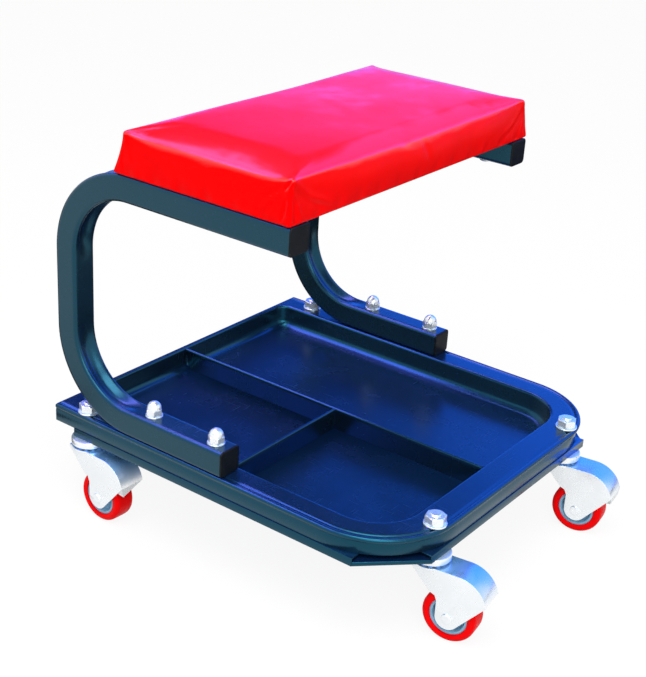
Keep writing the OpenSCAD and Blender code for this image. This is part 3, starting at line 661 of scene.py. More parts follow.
def make_staple_tree():
    """Staples along a loop, each in the loop's direction but for a slight random turn."""
    t, given, out = growing_tree("Staple Row", Copied=("Object", None), Staples=("Int", 60), Seed=("Int", 4))
    source = t.add("GeometryNodeObjectInfo", {"Object": given["Copied"]}).outputs["Geometry"]
    curve = t.add("GeometryNodeMeshToCurve", {0: given["Geometry"]}).outputs[0]
    even = t.add("GeometryNodeResampleCurve", {"Curve": curve, "Count": given["Staples"]}).outputs[0]
    along = t.add("GeometryNodeInputTangent").outputs[0]
    facing = t.add("FunctionNodeAlignRotationToVector", {"Vector": along}, axis="X").outputs[0]
    tilt = t.add("FunctionNodeRandomValue", {2: -0.14, 3: 0.14, "Seed": given["Seed"]}, data_type="FLOAT")
    spin = t.add("ShaderNodeCombineXYZ", {"Z": tilt.outputs[1]}).outputs[0]
    euler = t.add("FunctionNodeEulerToRotation", {0: spin}).outputs[0]
    turned = t.add("FunctionNodeRotateRotation", {0: facing, 1: euler}, rotation_space="LOCAL").outputs[0]
    points = t.add("GeometryNodeCurveToPoints", {"Curve": even}, mode="EVALUATED").outputs[0]
    return end_tree(t, given, out, instances(t, points, source, Rotation=turned))


GROWING = {"copies": make_copies_tree, "balls": make_ball_tree, "staples": make_staple_tree}
TREES = {}


def grown(name, points, key, material, edges=(), **values):
    """A plain mesh made by a tree from points in millimetres."""
    if key not in TREES:
        TREES[key] = GROWING[key]()
    mesh = bpy.data.meshes.new(name)
    mesh.from_pydata((np.asarray(points, float) * MM).tolist(), list(edges), [])
    piece = new_object(name, mesh)
    modifier = piece.modifiers.new("Grow", "NODES")
    modifier.node_group = TREES[key]
    sockets = {s.name: s.identifier for s in TREES[key].interface.items_tree if s.in_out == "INPUT"}
    modifier[sockets["Material"]] = MATERIALS[material]
    for label, value in values.items():
        modifier[sockets[label.replace("_", " ")]] = value
    finish_modifiers(piece)
    if not len(piece.data.polygons):
        raise RuntimeError(name + " came out empty")
    return piece


def copies(name, mesh, points, material, turn=0.0, seed=1):
    """Copies of one mesh on points, as one plain piece."""
    source = new_object(name + "_source", mesh)
    piece = grown(name, points, "copies", material, Copied=source, Random_Turn=turn, Seed=seed)
    bpy.data.objects.remove(source)
    return piece


# Tray

ROUND_STEPS = 18  # faces round each corner of the tray
SIDE_STEPS = 6  # points along each of its sides


def corner_loop(half, low, high, front_r, rear_r, round_steps=ROUND_STEPS, side_steps=SIDE_STEPS):
    """Plan loop of a rounded rectangle, and how far each point belongs to the rear edge."""
    bends = []
    for x, y, r, start in ((half, high, rear_r, 0), (-half, high, rear_r, 90), (-half, low, front_r, 180),
                           (half, low, front_r, 270)):
        centre = (x - math.copysign(r, x), y - math.copysign(r, y - (low + high) / 2))
        bends.append(arc(centre, r, start, start + 90, round_steps + 1))
    grows, none = np.linspace(0, 1, round_steps + 1), np.zeros(round_steps + 1)
    points, rear = [], []
    for i, share in enumerate((grows, grows[::-1], none, none)):
        begin, end = bends[i][-1], bends[(i + 1) % 4][0]
        points += bends[i]
        points += [(begin[0] + (end[0] - begin[0]) * k, begin[1] + (end[1] - begin[1]) * k)
                   for k in np.arange(1, side_steps + 1) / (side_steps + 1)]
        rear += [*share, *[float(i == 0)] * side_steps]
    return np.array(points), np.array(rear)


# Lower edge of the wells' wall: how far it stands in, and its height over the floor
WELL_FILLET = ((0.0, 8.5), (-0.35, 6.4), (-1.1, 4.6), (-2.3, 2.9), (-3.9, 1.5), (-5.8, 0.55), (-8.0, 0.1),
               (-9.5, 0.0))
# How much of the sheet's thickness lies sideways at each point of the fillet's underside
FILLET_LEAN = (0.98, 0.9, 0.75, 0.5, 0.25, 0.08, 0.0)
# The groove of the flange: its margin and height at the front and sides, then both at the rear
GROOVE = ((9.6, 0.0, 1.5, 0.0), (8.0, 0.0, 1.35, 0.0), (7.3, -0.28, 1.2, 0.0), (6.7, -0.85, 1.1, 0.0),
          (6.0, -1.05, 1.0, 0.0), (5.3, -0.95, 0.9, 0.0), (4.7, -0.6, 0.8, -0.05))
# The turn round the bead, in degrees, with its margin and its drop at the rear, where there is no bead
BEAD_TURN = ((118, 0.6, 0.15), (90, 0.4, 0.35), (62, 0.25, 0.6), (34, 0.1, 1.0), (6, 0.0, 2.0),
             (-22, 0.0, 3.2), (-50, 0.0, 4.2))
LIP = 3.0  # radius between the wells' wall and the flange
DRAFT = 0.15  # how far the wall leans out below the lip
SKIRT_IN = 0.6  # how far the skirt stands inside the bead
EDGE_R = 0.8  # radius of the rim at the rear corners


def tray_loops(s):
    """Loops of the pressed tray, from the wells' floor over the rim to the skirt, and back underneath."""
    low, high, side = TRAY_LOW[1], TRAY_HIGH[1], TRAY_HIGH[0]
    top, t, bead = FLANGE_Z, s.sheet, s.bead
    floor, skirt_low = TRAY_LOW[2] + t, top - s.skirt

    def well(grow, z):
        xy, _ = corner_loop(side - s.side_flange + grow, low + s.front_flange - grow,
                            high - s.rear_flange + min(grow, s.rear_flange - 1.6),
                            s.well_front_radius + grow, s.well_rear_radius + grow)
        return np.column_stack([xy, np.full(len(xy), z)])

    def rim(margin, z, rear_margin, rear_z, radius):
        xy, rear = corner_loop(side - margin, low + margin, high - rear_margin, radius - margin, EDGE_R)
        return np.column_stack([xy, z + (rear_z - z) * rear])

    loops = [well(g, floor + h) for g, h in reversed(WELL_FILLET)]
    loops += [well(0.0, floor + 12), well(DRAFT, top - 1.5 * LIP)]
    loops += [well(LIP - (LIP - DRAFT) * math.cos(a), top - LIP + LIP * math.sin(a))
              for a in np.radians([12, 30, 50, 70, 90])]
    loops.append(well(1.1 * LIP, top))
    for margin, z, rear_margin, rear_z in GROOVE:
        loops.append(rim(margin, top + z, rear_margin, top + rear_z, s.rim_radius))
    for turn, rear_margin, drop in BEAD_TURN:
        a = math.radians(turn)
        loops.append(rim(bead - bead * math.cos(a), top - bead + bead * math.sin(a), rear_margin, top - drop,
                         s.rim_radius))
    inner = SKIRT_IN + t
    skirt = ((SKIRT_IN + 0.5, 0.0, top - 5.3), (SKIRT_IN, 0.0, top - 6.6),
             (SKIRT_IN, 0.0, skirt_low + 0.5), (SKIRT_IN + 0.2, 0.0, skirt_low + 0.1),
             (inner - 0.2, t, skirt_low + 0.1), (inner, t, skirt_low + 0.5),
             (inner, t, top - t - 1), (inner + 0.8, t + 0.8, top - t))
    loops += [rim(margin, z, rear_margin, z, s.skirt_radius) for margin, rear_margin, z in skirt]
    for grow, z in ((1.4, top - t), (0.4, top - t - 0.6), (0.0, top - t - 1.6), (0.0, floor + 8)):
        loops.append(well(t + grow, z))
    for (grow, h), lean in zip(WELL_FILLET[1:], FILLET_LEAN):
        loops.append(well(grow + t * lean, floor + h - t * (1 - lean)))
    return loops


def wall_inset(height):
    """How far the wells' wall stands in at a height over the floor."""
    insets, heights = zip(*reversed(WELL_FILLET))
    return -float(np.interp(height, heights, insets))


HEM = 3.2  # thickness of the hem rolled along a divider's top
HEM_DEPTH = 5.0
DIVIDER_FOOT = 10.0  # width of the foot that lies on the floor
WALL_GAP = 0.25  # between a divider's end and the wall


def divider_profile(h, sheet):
    """Section of a folded divider: a foot, a sheet and a rolled hem on top."""
    w, e, foot = sheet / 2, HEM / 2, DIVIDER_FOOT - sheet / 2
    hem = [(w, h - HEM_DEPTH - 0.3), (w + 0.25, h - HEM_DEPTH + 0.05), (e, h - HEM_DEPTH + 0.7)]
    right = [(foot, 0.0), (foot, sheet * 0.7), (foot - 0.5, sheet), (w + 1.6, sheet), (w + 0.7, sheet + 0.25),
             (w + 0.15, sheet + 0.9), (w, sheet + 1.8)]
    left = [(-x, z) for x, z in reversed(hem)] + [(-w, 0.4), (-w + 0.3, 0.0)]
    return right + hem + arc((0, h - e), e, 0, 180, 11) + left


def divider_loops(section, steps, ends, place):
    """Loops of a divider whose ends, found from the wall's inset, lean with the walls."""
    loops = []
    for share in np.linspace(0, 1, steps):
        loop = []
        for across, z in section:
            start, end = ends(wall_inset(z) + WALL_GAP)
            loop.append(place(across, start + (end - start) * share, z))
        loops.append(loop)
    return loops


class CREEPER_OT_tray(bpy.types.Operator):
    """Make the pressed tray with its flange, groove, bead, skirt and wells"""
    bl_idname = "creeper.tray"
    bl_label = "Tray"

    def execute(self, context):
        make_materials()
        loops = tray_loops(context.scene.creeper_tray)
        shell("pressed_tray", skin(loops), 40, "chassis", "paint", "Blue gloss paint", "tray")
        return {"FINISHED"}


class CREEPER_OT_dividers(bpy.types.Operator):
    """Make the two folded dividers of the wells"""
    bl_idname = "creeper.dividers"
    bl_label = "Dividers"

    def execute(self, context):
        make_materials()
        s = context.scene.creeper_tray
        floor = TRAY_LOW[2] + s.sheet
        section = divider_profile(box_mm("long_divider")[1][2] - floor, s.sheet)
        front, rear = TRAY_LOW[1] + s.front_flange, TRAY_HIGH[1] - s.rear_flange
        left = s.side_flange - TRAY_HIGH[0]
        cross_low, cross_high = box_mm("cross_divider")
        long = divider_loops(section, 9, lambda inset: (front + inset, rear - inset),
                             lambda across, along, z: (across - s.divider_left, along, floor + z))
        cross = divider_loops(section, 7, lambda inset: (cross_high[0], left + inset),
                              lambda across, along, z: (along, cross_low[1] + HEM / 2 + across, floor + z))
        for node, loops in (("long_divider", long), ("cross_divider", cross)):
            shell("folded_" + node, skin(loops), 45, "chassis", "paint", "Blue gloss paint", node)
        return {"FINISHED"}


class CREEPER_OT_base(bpy.types.Operator):
    """Round the edges of the rails and caster plates under the tray"""
    bl_idname = "creeper.base"
    bl_label = "Base frame"

    def execute(self, context):
        make_materials()
        rails = [(side + "_rail", 0.45, 2) for side in ("left", "right", "front", "rear")]
        plates = [(end + side + "_plate", 0.8, 3)
                  for end in ("front_", "rear_") for side in ("left", "right")]
        for node, width, segments in rails + plates:
            dress(bevelled(node, width, segments), "chassis", "paint", "Blue gloss paint", node)
        for node in ("stem_sleeves", "foot_sleeves"):
            coat(node, "Bright zinc")
        return {"FINISHED"}


# Frames

PRESS_START = 16  # how far before a bend its inner wall begins to sink
PRESS_LENGTH = 48  # over how long a way it sinks to its full depth
BEND_PER_DEGREE = 1.33  # way along the tube for each degree of a bend
BEND_STEPS = 31
DISH_WIDTH = 6.2  # half the width of the dish in the inner wall
RIDGE_AT, RIDGE_WIDTH = 9.5, 2.2  # place and width of the ridges beside the dish
RIDGE = 0.10  # their height, as a share of the dish
SINK_WIDTH = 8.5  # half the width of the flat on the outer wall
WALL_POWER = 6  # keeps the press on the wall and off the sides
# An end plug from its hidden end to its face: its share of the tube's size, and the way from its face
PLUG_SECTION = ((0.90, 9.0), (0.90, PLUG_LIP + 0.1), (1.0, PLUG_LIP), (1.0, 0.75), (0.988, 0.4),
                (0.965, 0.15), (0.92, 0.02), (0.8, 0.0))


def tube_section(width, corner, face_steps=14, corner_steps=6):
    """Section of the square tube: across it, and away from the bend's middle."""
    h = width / 2 - corner
    corners = [arc(centre, corner, start, start + 90, corner_steps)
               for centre, start in (((h, h), 0), ((-h, h), 90), ((-h, -h), 180), ((h, -h), 270))]
    points = []
    for i, bend in enumerate(corners):
        a, b = bend[-1], corners[(i + 1) % 4][0]
        points += bend
        points += [(a[0] + (b[0] - a[0]) * k / face_steps, a[1] + (b[1] - a[1]) * k / face_steps)
                   for k in range(1, face_steps)]
    return np.array(points)


def frame_stations(s):
    """Stations along a frame: place in Y and Z, angle of the path, and share of the bend's press."""
    half = s.width / 2
    mid_low, mid_high = FLANGE_Z + half, TUBE_HIGH[2] - half
    lower, upper = mid_low + s.bend, mid_high - s.bend
    bend_y = TUBE_HIGH[1] - half - s.bend
    arm_front = box_mm("tube_plugs")[0][1] + PLUG_LIP

    def press(way):
        return 0.5 - 0.5 * math.cos(math.pi * min(1.0, max(0.0, way) / PRESS_LENGTH))

    def bend(start, z):
        for a in np.linspace(0, 90, BEND_STEPS):
            r = math.radians(start + a)
            way = PRESS_START + BEND_PER_DEGREE * min(a, 90 - a)
            yield bend_y + s.bend * math.sin(r), z - s.bend * math.cos(r), start + a, press(way)

    foot = [(y, mid_low, 0.0, 0.0) for y in np.linspace(FOOT_FRONT, bend_y - PRESS_START, 7)]
    foot += [(bend_y - d, mid_low, 0.0, press(PRESS_START - d)) for d in (12, 8, 4)]
    upright = [(bend_y + s.bend, z, 90.0, press(PRESS_START - min(z - lower, upper - z)))
               for z in np.linspace(lower, upper, 21)[1:-1]]
    arm = [(bend_y - d, mid_high, 180.0, press(PRESS_START - d)) for d in (4, 8, 12)]
    arm += [(y, mid_high, 180.0, 0.0) for y in np.linspace(bend_y - PRESS_START, arm_front, 8)]
    return [*foot, *bend(0, lower), *upright, *bend(90, upper), *arm]


def frame_loops(s, middle_x):
    """Loops of a bent tube whose inner wall is pressed in at the bends."""
    section = tube_section(s.width, s.corner)
    half = s.width / 2
    u, v = section.T
    inner, outer = np.clip(-v / half, 0, 1) ** WALL_POWER, np.clip(v / half, 0, 1) ** WALL_POWER
    dish = np.exp(-(u / DISH_WIDTH) ** 2) - RIDGE * np.exp(-((np.abs(u) - RIDGE_AT) / RIDGE_WIDTH) ** 2)
    pressed = s.dish * inner * dish - s.flatten * outer * np.exp(-(u / SINK_WIDTH) ** 2)
    loops = []
    for y, z, angle, press in frame_stations(s):
        a = math.radians(angle)
        out = np.clip(v + press * pressed, -half, half)
        loops.append(np.column_stack([middle_x + u, y + out * math.sin(a), z - out * math.cos(a)]))
    return loops


class CREEPER_OT_frames(bpy.types.Operator):
    """Sweep the two bent tube frames, pressed in at their bends, and cap their ends"""
    bl_idname = "creeper.frames"
    bl_label = "Seat frames"

    def execute(self, context):
        make_materials()
        s = context.scene.creeper_tube
        for node in ("left_frame", "right_frame"):
            low, high = box_mm(node)
            loops = frame_loops(s, (low[0] + high[0]) / 2)
            shell("bent_" + node, skin(loops), 50, "chassis", "paint", "Black gloss paint", node)
        section = tube_section(s.width, s.corner, 4)
        loops = [np.insert(section * scale, 1, back, axis=1) for scale, back in PLUG_SECTION]
        cap = mesh_of("tube_cap", *skin(loops), 50)
        low, high = box_mm("tube_plugs")
        half = s.width / 2
        places = [(side * (high[0] - half), y, z) for side in (-1, 1)
                  for y, z in ((FOOT_FRONT - PLUG_LIP, low[2] + half), (low[1], high[2] - half))]
        piece = copies("tube_end_caps", cap, places, "Plug plastic")
        dress(piece, "chassis", "plug", "Plug plastic", "tube_plugs")
        return {"FINISHED"}


# Fixings

# Radii of the round pieces
FOOT_WASHER = 8.2
FOOT_BOLT = 4.0
STEM_WASHER = 10.5
STEM = 5.0
TEE_NUT = 9.0
SCREW = 3.0
THREAD_PITCH = 1.5  # from one thread to the next
ANY_TURN = 1.05  # a sixth of a turn, past which a hexagon repeats


def nut_mesh(name, across, h, bore, dome=0.0):
    """A hexagonal nut with chamfered corners, closed by a dome if its radius is given."""
    full = across / 2 / math.cos(math.pi / 6)
    chamfer, nearly = across / 2 * 0.97, full * 0.985
    profile = [(chamfer, 0.0), (nearly, 0.45), (full, 0.9), (full, h - 1.2), (nearly, h - 0.7), (chamfer, h)]
    if dome:
        profile.append((dome * 1.02, h + 0.15))
        profile += [(dome * math.cos(a), h + 0.2 + dome * 0.98 * math.sin(a))
                    for a in np.radians([0, 15, 30, 45, 60, 72, 82, 88])]
    else:
        profile += [(bore + 0.9, h), (bore + 0.2, h - 0.5), (bore + 0.1, h - 1.5)]
    return mesh_of(name, *hex_skin(across, profile), 30)


def washer_mesh(name, outer, inner, t, e=0.3):
    """A washer of a thickness, with its edges broken."""
    profile = [(inner, 0), (outer - e, 0), (outer, e), (outer, t - e), (outer - e, t), (inner + e, t),
               (inner, t - e)]
    return mesh_of(name, *lathe(profile))


def foot_washer(height):
    return washer_mesh("flat_washer", FOOT_WASHER, FOOT_BOLT + 0.15, height)


def stem_washer(height):
    return washer_mesh("stem_washer", STEM_WASHER, STEM + 0.15, height)


def dome_nut(height):
    nut = nut_mesh("dome_nut", 13.5, 6.5, FOOT_BOLT, dome=6.75)
    top = max(v.co.z for v in nut.vertices) / MM
    nut.transform(Matrix.Diagonal((1, 1, height / top, 1)))
    return nut


def foot_bolt(height):
    """A bolt with its hexagonal head down."""
    thick = 5.0
    head = nut_mesh("bolt_head", 13.0, thick, 0.5)
    head.transform(Matrix.Translation((0, 0, thick * MM)) @ Matrix.Rotation(math.pi, 4, "X"))
    shank = mesh_of("bolt_shank", *capped_lathe([(FOOT_BOLT, thick - 0.1), (FOOT_BOLT, height)], 32))
    return joined_mesh("foot_bolt", head, shank)


def stem_nut(height):
    return nut_mesh("stem_nut", 17.0, height, STEM)


def riveted_stem(height):
    """A caster's stem: a riveted head below, and thread ridges and a chamfer on top."""
    foot, threads = 2.0, height - 3.5 * THREAD_PITCH
    profile = [(STEM, foot), (STEM, threads)]
    for z in threads + THREAD_PITCH * np.arange(3):
        profile += [(STEM - 0.5, z + 0.35 * THREAD_PITCH), (STEM, z + 0.75 * THREAD_PITCH)]
    profile += [(STEM, height - 0.8), (STEM - 0.9, height), (STEM * 0.4, height)]
    rivet = [(6.5, 0), (8.2, 0.3), (9.0, 1.1), (9.0, 2.3), (8.7, 2.7), (4.0, 2.7)]
    return joined_mesh("stem", mesh_of("stem_rivet", *capped_lathe(rivet)),
                       mesh_of("stem_rod", *capped_lathe(profile)))


def upper_race(height):
    """A pressed ball race with a lip that hangs over the fork."""
    bore, top = STEM + 0.1, 6.4
    profile = [(bore, 3.7), (13.5, 3.7), (15.0, 3.2), (15.9, 1.6), (15.9, 0.3), (16.4, 0.0), (17.2, 0.0),
               (17.5, 0.4), (17.5, 5.2), (17.0, 6.1), (16.0, top), (bore, top)]
    race = mesh_of("race", *lathe(profile), 35)
    race.transform(Matrix.Diagonal((1, 1, height / top, 1)))
    return race


def seat_screw(height):
    """A pan head screw with a round drive, head down."""
    head = [(SCREW, 3.6), (5.6, 3.6), (5.8, 3.2), (5.8, 2.2), (5.3, 1.1), (4.3, 0.4), (2.8, 0.05), (2.6, 0.0),
            (2.2, 0.9), (1.6, 1.5), (0.5, 1.7)]
    return joined_mesh("seat_screw", mesh_of("screw_head", *capped_lathe(head)),
                       mesh_of("screw_shank", *capped_lathe([(SCREW, 3.5), (SCREW, height)], 32)))


def places_of(node, radius):
    """The four places of a node's round pieces, from its box and their radius."""
    low, high = box_mm(node)
    return [(x, y) for x in (low[0] + radius, high[0] - radius) for y in (low[1] + radius, high[1] - radius)]


class CREEPER_OT_fixings(bpy.types.Operator):
    """Set the dome nuts, stem nuts, washers, bolts, stems, ball races and seat screws"""
    bl_idname = "creeper.fixings"
    bl_label = "Nuts, bolts and stems"

    def execute(self, context):
        make_materials()
        feet = places_of("foot_washers", FOOT_WASHER)
        stems = [joint_mm(c + "_swivel")[:2] for c in CORNERS]
        screws = places_of("tee_nuts", TEE_NUT)
        for name, node, make, places, turn, seed in (
                ("foot_bolt_washers", "foot_washers", foot_washer, feet, 0.0, 1),
                ("foot_dome_nuts", "dome_nuts", dome_nut, feet, ANY_TURN, 3),
                ("foot_carriage_bolts", "foot_bolts", foot_bolt, feet, ANY_TURN, 5),
                ("caster_stem_washers", "stem_washers", stem_washer, stems, 0.0, 1),
                ("caster_stem_nuts", "stem_nuts", stem_nut, stems, ANY_TURN, 8),
                ("riveted_stems", "caster_stems", riveted_stem, stems, 0.0, 1),
                ("upper_races", "caster_races", upper_race, stems, 0.0, 1),
                ("pan_head_screws", "seat_screws", seat_screw, screws, 0.0, 1)):
            low, high = box_mm(node)
            points = [(x, y, low[2]) for x, y in places]
            piece = copies(name, make(high[2] - low[2]), points, "Bright zinc", turn, seed)
            dress(piece, "chassis", "zinc", "Bright zinc", node)
        coat("tee_nuts", "Bright zinc")
        return {"FINISHED"}


# Seat

HELD_FOOT = 2.5  # height of the cover's foot, which the cloth keeps
HELD_CORNER = 13  # radius about each corner, seen from above, that it keeps too
PAD_STEPS = (60, 32, 8)  # faces of the pad from end to end, from front to rear and upwards
CLOTH_FRAMES = 20
SIDE_SWELL = 0.5  # share of the cloth's sideways movement that is kept
ROLL_WIDTH = 18  # width of the ends over which the top rolls off
EAR_WIDTH = 7.0
INNER_RISE = 7.0  # how far the cover rises inside its cut line, where the board shows
CUT_STEP = 1.2  # width of the step at the cut line
SPARE, REAR_SPARE = 1.5, 6.5  # how far the cover may stand out beyond the plain pad, and at its rear
STAPLE_ROW = 7  # how far the staples lie outside the cut line


def spread(half, steps):
    """Places from one end of a side to the other, closer together towards both ends."""
    t = np.linspace(-1, 1, steps + 1)
    return half * (0.5 * t + 0.5 * np.sin(t * math.pi / 2))


def grid_side(u, v, place):
    """Points and faces of one side of a box, from its places along two directions."""
    a, b = (grid.ravel() for grid in np.meshgrid(u, v, indexing="ij"))
    n = len(v)
    faces = [(i * n + j, (i + 1) * n + j, (i + 1) * n + j + 1, i * n + j + 1)
             for i in range(len(u) - 1) for j in range(n - 1)]
    return np.column_stack(place(a, b)), faces


def pad_skin(s):
    """Points and faces of the pad before it swells: a box of even faces, rounded, drawn in and crowned."""
    half, depth = SEAT_HALF - s.start_in
    top = SEAT_HIGH[2] - SEAT_LOW[2] - s.crown
    xs, ys, zs = (spread(size, steps) for size, steps in zip((half, depth, top / 2), PAD_STEPS))
    zs = zs + top / 2
    box, faces = merged([grid_side(xs, ys, lambda a, b, z=z: (a, b, 0 * a + z)) for z in (0, top)]
                        + [grid_side(xs, zs, lambda a, b, y=y: (a, 0 * a + y, b)) for y in (-depth, depth)]
                        + [grid_side(ys, zs, lambda a, b, x=x: (0 * a + x, a, b)) for x in (-half, half)])
    radius = s.foot_edge + (s.edge - s.foot_edge) * box[:, 2] / top
    reach = np.column_stack([half - radius, depth - radius, top / 2 - radius])
    middle = np.array([0, 0, top / 2])
    core = middle + np.clip(box - middle, -reach, reach)
    away = box - core
    x, y, z = (core + away / np.linalg.norm(away, axis=1, keepdims=True) * radius[:, None]).T
    lift = z / top
    u, v = np.abs(x) / half, np.abs(y) / depth
    near_end = np.clip((np.abs(x) - half) / ROLL_WIDTH + 1, 0, 1)
    z = z + lift * (s.crown * (1 - u ** 2.5) * (1 - v ** 2.5) - s.roll * near_end ** 2 * (1 - v ** 8))
    x = x * (1 - s.draw_in / half * lift ** 1.3)
    y = y * (1 - s.draw_front / depth * lift ** 1.3)
    foot = (1 - lift) ** 2
    x = x + s.flare * foot * x / half
    y = y + (s.flare + s.rear_flare * (y > 0)) * foot * y / depth
    gap = np.hypot(half - np.abs(box[:, 0]), depth - np.abs(box[:, 1]))
    ears = s.ear * np.exp(-(gap / EAR_WIDTH) ** 2) * lift ** 3
    return np.column_stack([x + np.sign(x) * ears, y + np.sign(y) * ears, z]), faces


def read_points(mesh, key):
    """The points or the normals of a mesh, as an array."""
    values = np.empty(len(mesh.vertices) * 3)
    mesh.vertices.foreach_get(key, values)
    return values.reshape(-1, 3)


def move_points(mesh, co):
    mesh.vertices.foreach_set("co", co.ravel())
    mesh.update()


def held_points(co):
    """Points that the cloth keeps: the foot of the cover and its four corners."""
    corner = SEAT_HALF * MM - np.abs(co[:, :2])
    held = (co[:, 2] < HELD_FOOT * MM) | (np.hypot(corner[:, 0], corner[:, 1]) < HELD_CORNER * MM)
    return np.nonzero(held)[0].tolist()


def swell(piece, s):
    """Runs the cloth under pressure and keeps how far its points moved, up to the furthest swell."""
    rest = read_points(piece.data, "co")
    group = piece.vertex_groups.new(name="held")
    group.add(held_points(rest), 1.0, "REPLACE")
    cloth = piece.modifiers.new("Cloth", "CLOTH").settings
    cloth.use_pressure = True
    cloth.uniform_pressure_force = s.pressure
    cloth.effector_weights.gravity = 0
    cloth.vertex_group_mass = group.name
    cloth.quality = 4
    cloth.mass = 0.25
    cloth.tension_stiffness = cloth.compression_stiffness = 12
    cloth.bending_stiffness = 0.4
    scene = bpy.context.scene
    for number in range(1, CLOTH_FRAMES + 1):
        scene.frame_set(number)
    graph = bpy.context.evaluated_depsgraph_get()
    move = read_points(piece.evaluated_get(graph).data, "co") - rest
    length = np.linalg.norm(move, axis=1, keepdims=True)
    move *= np.minimum(1.0, s.swell * MM / np.maximum(length, 1e-9))
    move[:, :2] *= SIDE_SWELL
    piece.modifiers.clear()
    piece.vertex_groups.clear()
    scene.frame_set(1)
    move_points(piece.data, rest + move)


def line_distance(points, line):
    """Distance of points to a broken line, and how far along it the nearest place is, as a share."""
    best = np.full(len(points), np.inf)
    share = np.zeros(len(points))
    line = np.asarray(line, float)
    steps = np.linalg.norm(np.diff(line, axis=0), axis=1)
    total, passed = steps.sum(), 0.0
    for a, b, step in zip(line[:-1], line[1:], steps):
        d = b - a
        t = np.clip((points - a) @ d / (d @ d), 0, 1)
        gap = np.linalg.norm(points - (a + t[:, None] * d), axis=1)
        nearer = gap < best
        best[nearer] = gap[nearer]
        share[nearer] = (passed + t[nearer] * step) / total
        passed += step
    return best, share


# The seat's corners by the side they lie on, with how strong their folds are
SEAT_CORNERS = ((-1, -1, 1.4), (-1, 1, 0.35), (1, -1, 0.8), (1, 1, 0.8))


def seat_folds(s, half, depth, top):
    """Height, width and line of each fold. A point of the folds is given by its way in from the corner."""
    end, front = s.draw_in, 3
    folds = (
        # A tuck that falls from the top corner down the short end, with its ridge above it
        (-1.5, 1.7, (end, front + 3, top - 3), (0, 14, top * 0.55), (0, 27, top * 0.2)),
        (1.3, 1.8, (end, front + 5, top - 1), (0, 17, top * 0.6), (0, 31, top * 0.25)),
        # The cover folded over itself on the long side
        (1.1, 1.4, (end + 1, 0, top - 8), (end + 8, 0, top - 4), (end + 17, 0, top - 1)),
        (-0.9, 1.3, (end + 1, 0, top - 11), (end + 9, 0, top - 7), (end + 18, 0, top - 4)),
        (0.8, 1.4, (end + 1, 0, top - 14), (end + 8, 0, top - 11), (end + 15, 0, top - 8)),
        # Gathers that run down the corner to its foot
        (1.0, 1.8, (2, 2, top - 6), (1.5, 4, top * 0.5), (1, 5, 1)),
        (-1.0, 1.4, (2, 7, top * 0.5), (1, 10, 1)),
        (-0.9, 1.5, (7, 1, top * 0.55), (9, 0, 1)),
        (0.7, 1.6, (12, 1, top * 0.4), (16, 0, 1)),
        # Slack that runs along the sides, away from the corner
        (0.8, 3.0, (end + 4, 0, top - 4), (28, 0, top * 0.5), (58, 0, top * 0.2)),
        (-0.6, 3.2, (end + 6, 0, top - 12), (34, 0, top * 0.34), (60, 0, top * 0.1)),
        (-0.5, 3.0, (end, 10, top - 8), (0, 30, top * 0.5), (0, 55, top * 0.3)),
        # Pulls over the top, from the corner inwards
        (0.45, 3.4, (end, front, top), (end + 20, front + 9, top + 1), (end + 46, front + 16, top + 2)))
    # The rear corner on the left stands up as a tight triangle, and the front has a soft dent
    ear = (2.72, 1.9, (end, 4, top), (1.5, 10, top * 0.7), (0, 16, top * 0.35))
    dent = (-0.72, 4.0, (half - 4, 0, top - 8), (half - 12, 0, top * 0.3), (half - 10, 0, 4))
    placed = [(sx, sy, height * strength, *fold)
              for sx, sy, strength in SEAT_CORNERS for height, *fold in folds]
    placed += [(-1, 1, *ear), (1, -1, *dent)]
    return [(height, width, [(sx * (half - x), sy * (depth - y), z) for x, y, z in line])
            for sx, sy, height, width, *line in placed]


def tuck_and_pull(mesh, s):
    """Adds the folds, the pulls of the staples along the lower edge and the turned-under edge."""
    co, normal = read_points(mesh, "co") / MM, read_points(mesh, "normal")
    half, depth = SEAT_HALF
    top = SEAT_HIGH[2] - SEAT_LOW[2] - s.crown
    push = np.zeros(len(co))
    for height, width, line in seat_folds(s, half, depth, top):
        gap, share = line_distance(co, line)
        fade = np.clip(1.15 - share ** 2, 0, 1)
        push += np.where(gap < 4 * width, height * np.exp(-(gap / width) ** 2) * fade, 0)
    # The staples pull at the foot of the sides, and the sides and the top wander softly
    x, y, z = co.T
    side = np.clip(1 - np.abs(normal[:, 2]) * 1.4, 0, 1)
    along = np.where(np.abs(normal[:, 0]) > np.abs(normal[:, 1]), y, x)
    pulls = np.sin(along * 0.21 + 0.7 * np.sin(along * 0.052)) + 0.5 * np.sin(along * 0.43 + 1.3)
    push += side * np.exp(-(z / 9.0) ** 2) * (0.55 * pulls - 0.5)
    push += side * np.exp(-((z - 20) / 14.0) ** 2) * 0.35 * np.sin(along * 0.06 + 1.1)
    push += np.clip(normal[:, 2], 0, 1) * 0.35 * np.sin(x * 0.031 + 1.0) * np.cos(y * 0.047)
    co += normal * push[:, None]
    # The turned edge ends in a wavy cut line, and the board shows inside it
    wave = 1.2 * np.sin(x * 0.06 + 0.5) + 1.0 * np.sin(y * 0.09) + 0.6 * np.sin((x + y) * 0.21)
    inside = np.minimum(half - s.turned + wave - np.abs(x), depth - s.turned + wave - np.abs(y))
    under = (normal[:, 2] < -0.5) & (z < 8)
    z[under] += np.clip(inside[under] / CUT_STEP + 0.5, 0, 1) * INNER_RISE
    low, high = (-half - SPARE, -depth - SPARE, 0), (half + SPARE, depth + REAR_SPARE, np.inf)
    move_points(mesh, np.clip(co, low, high) * MM)


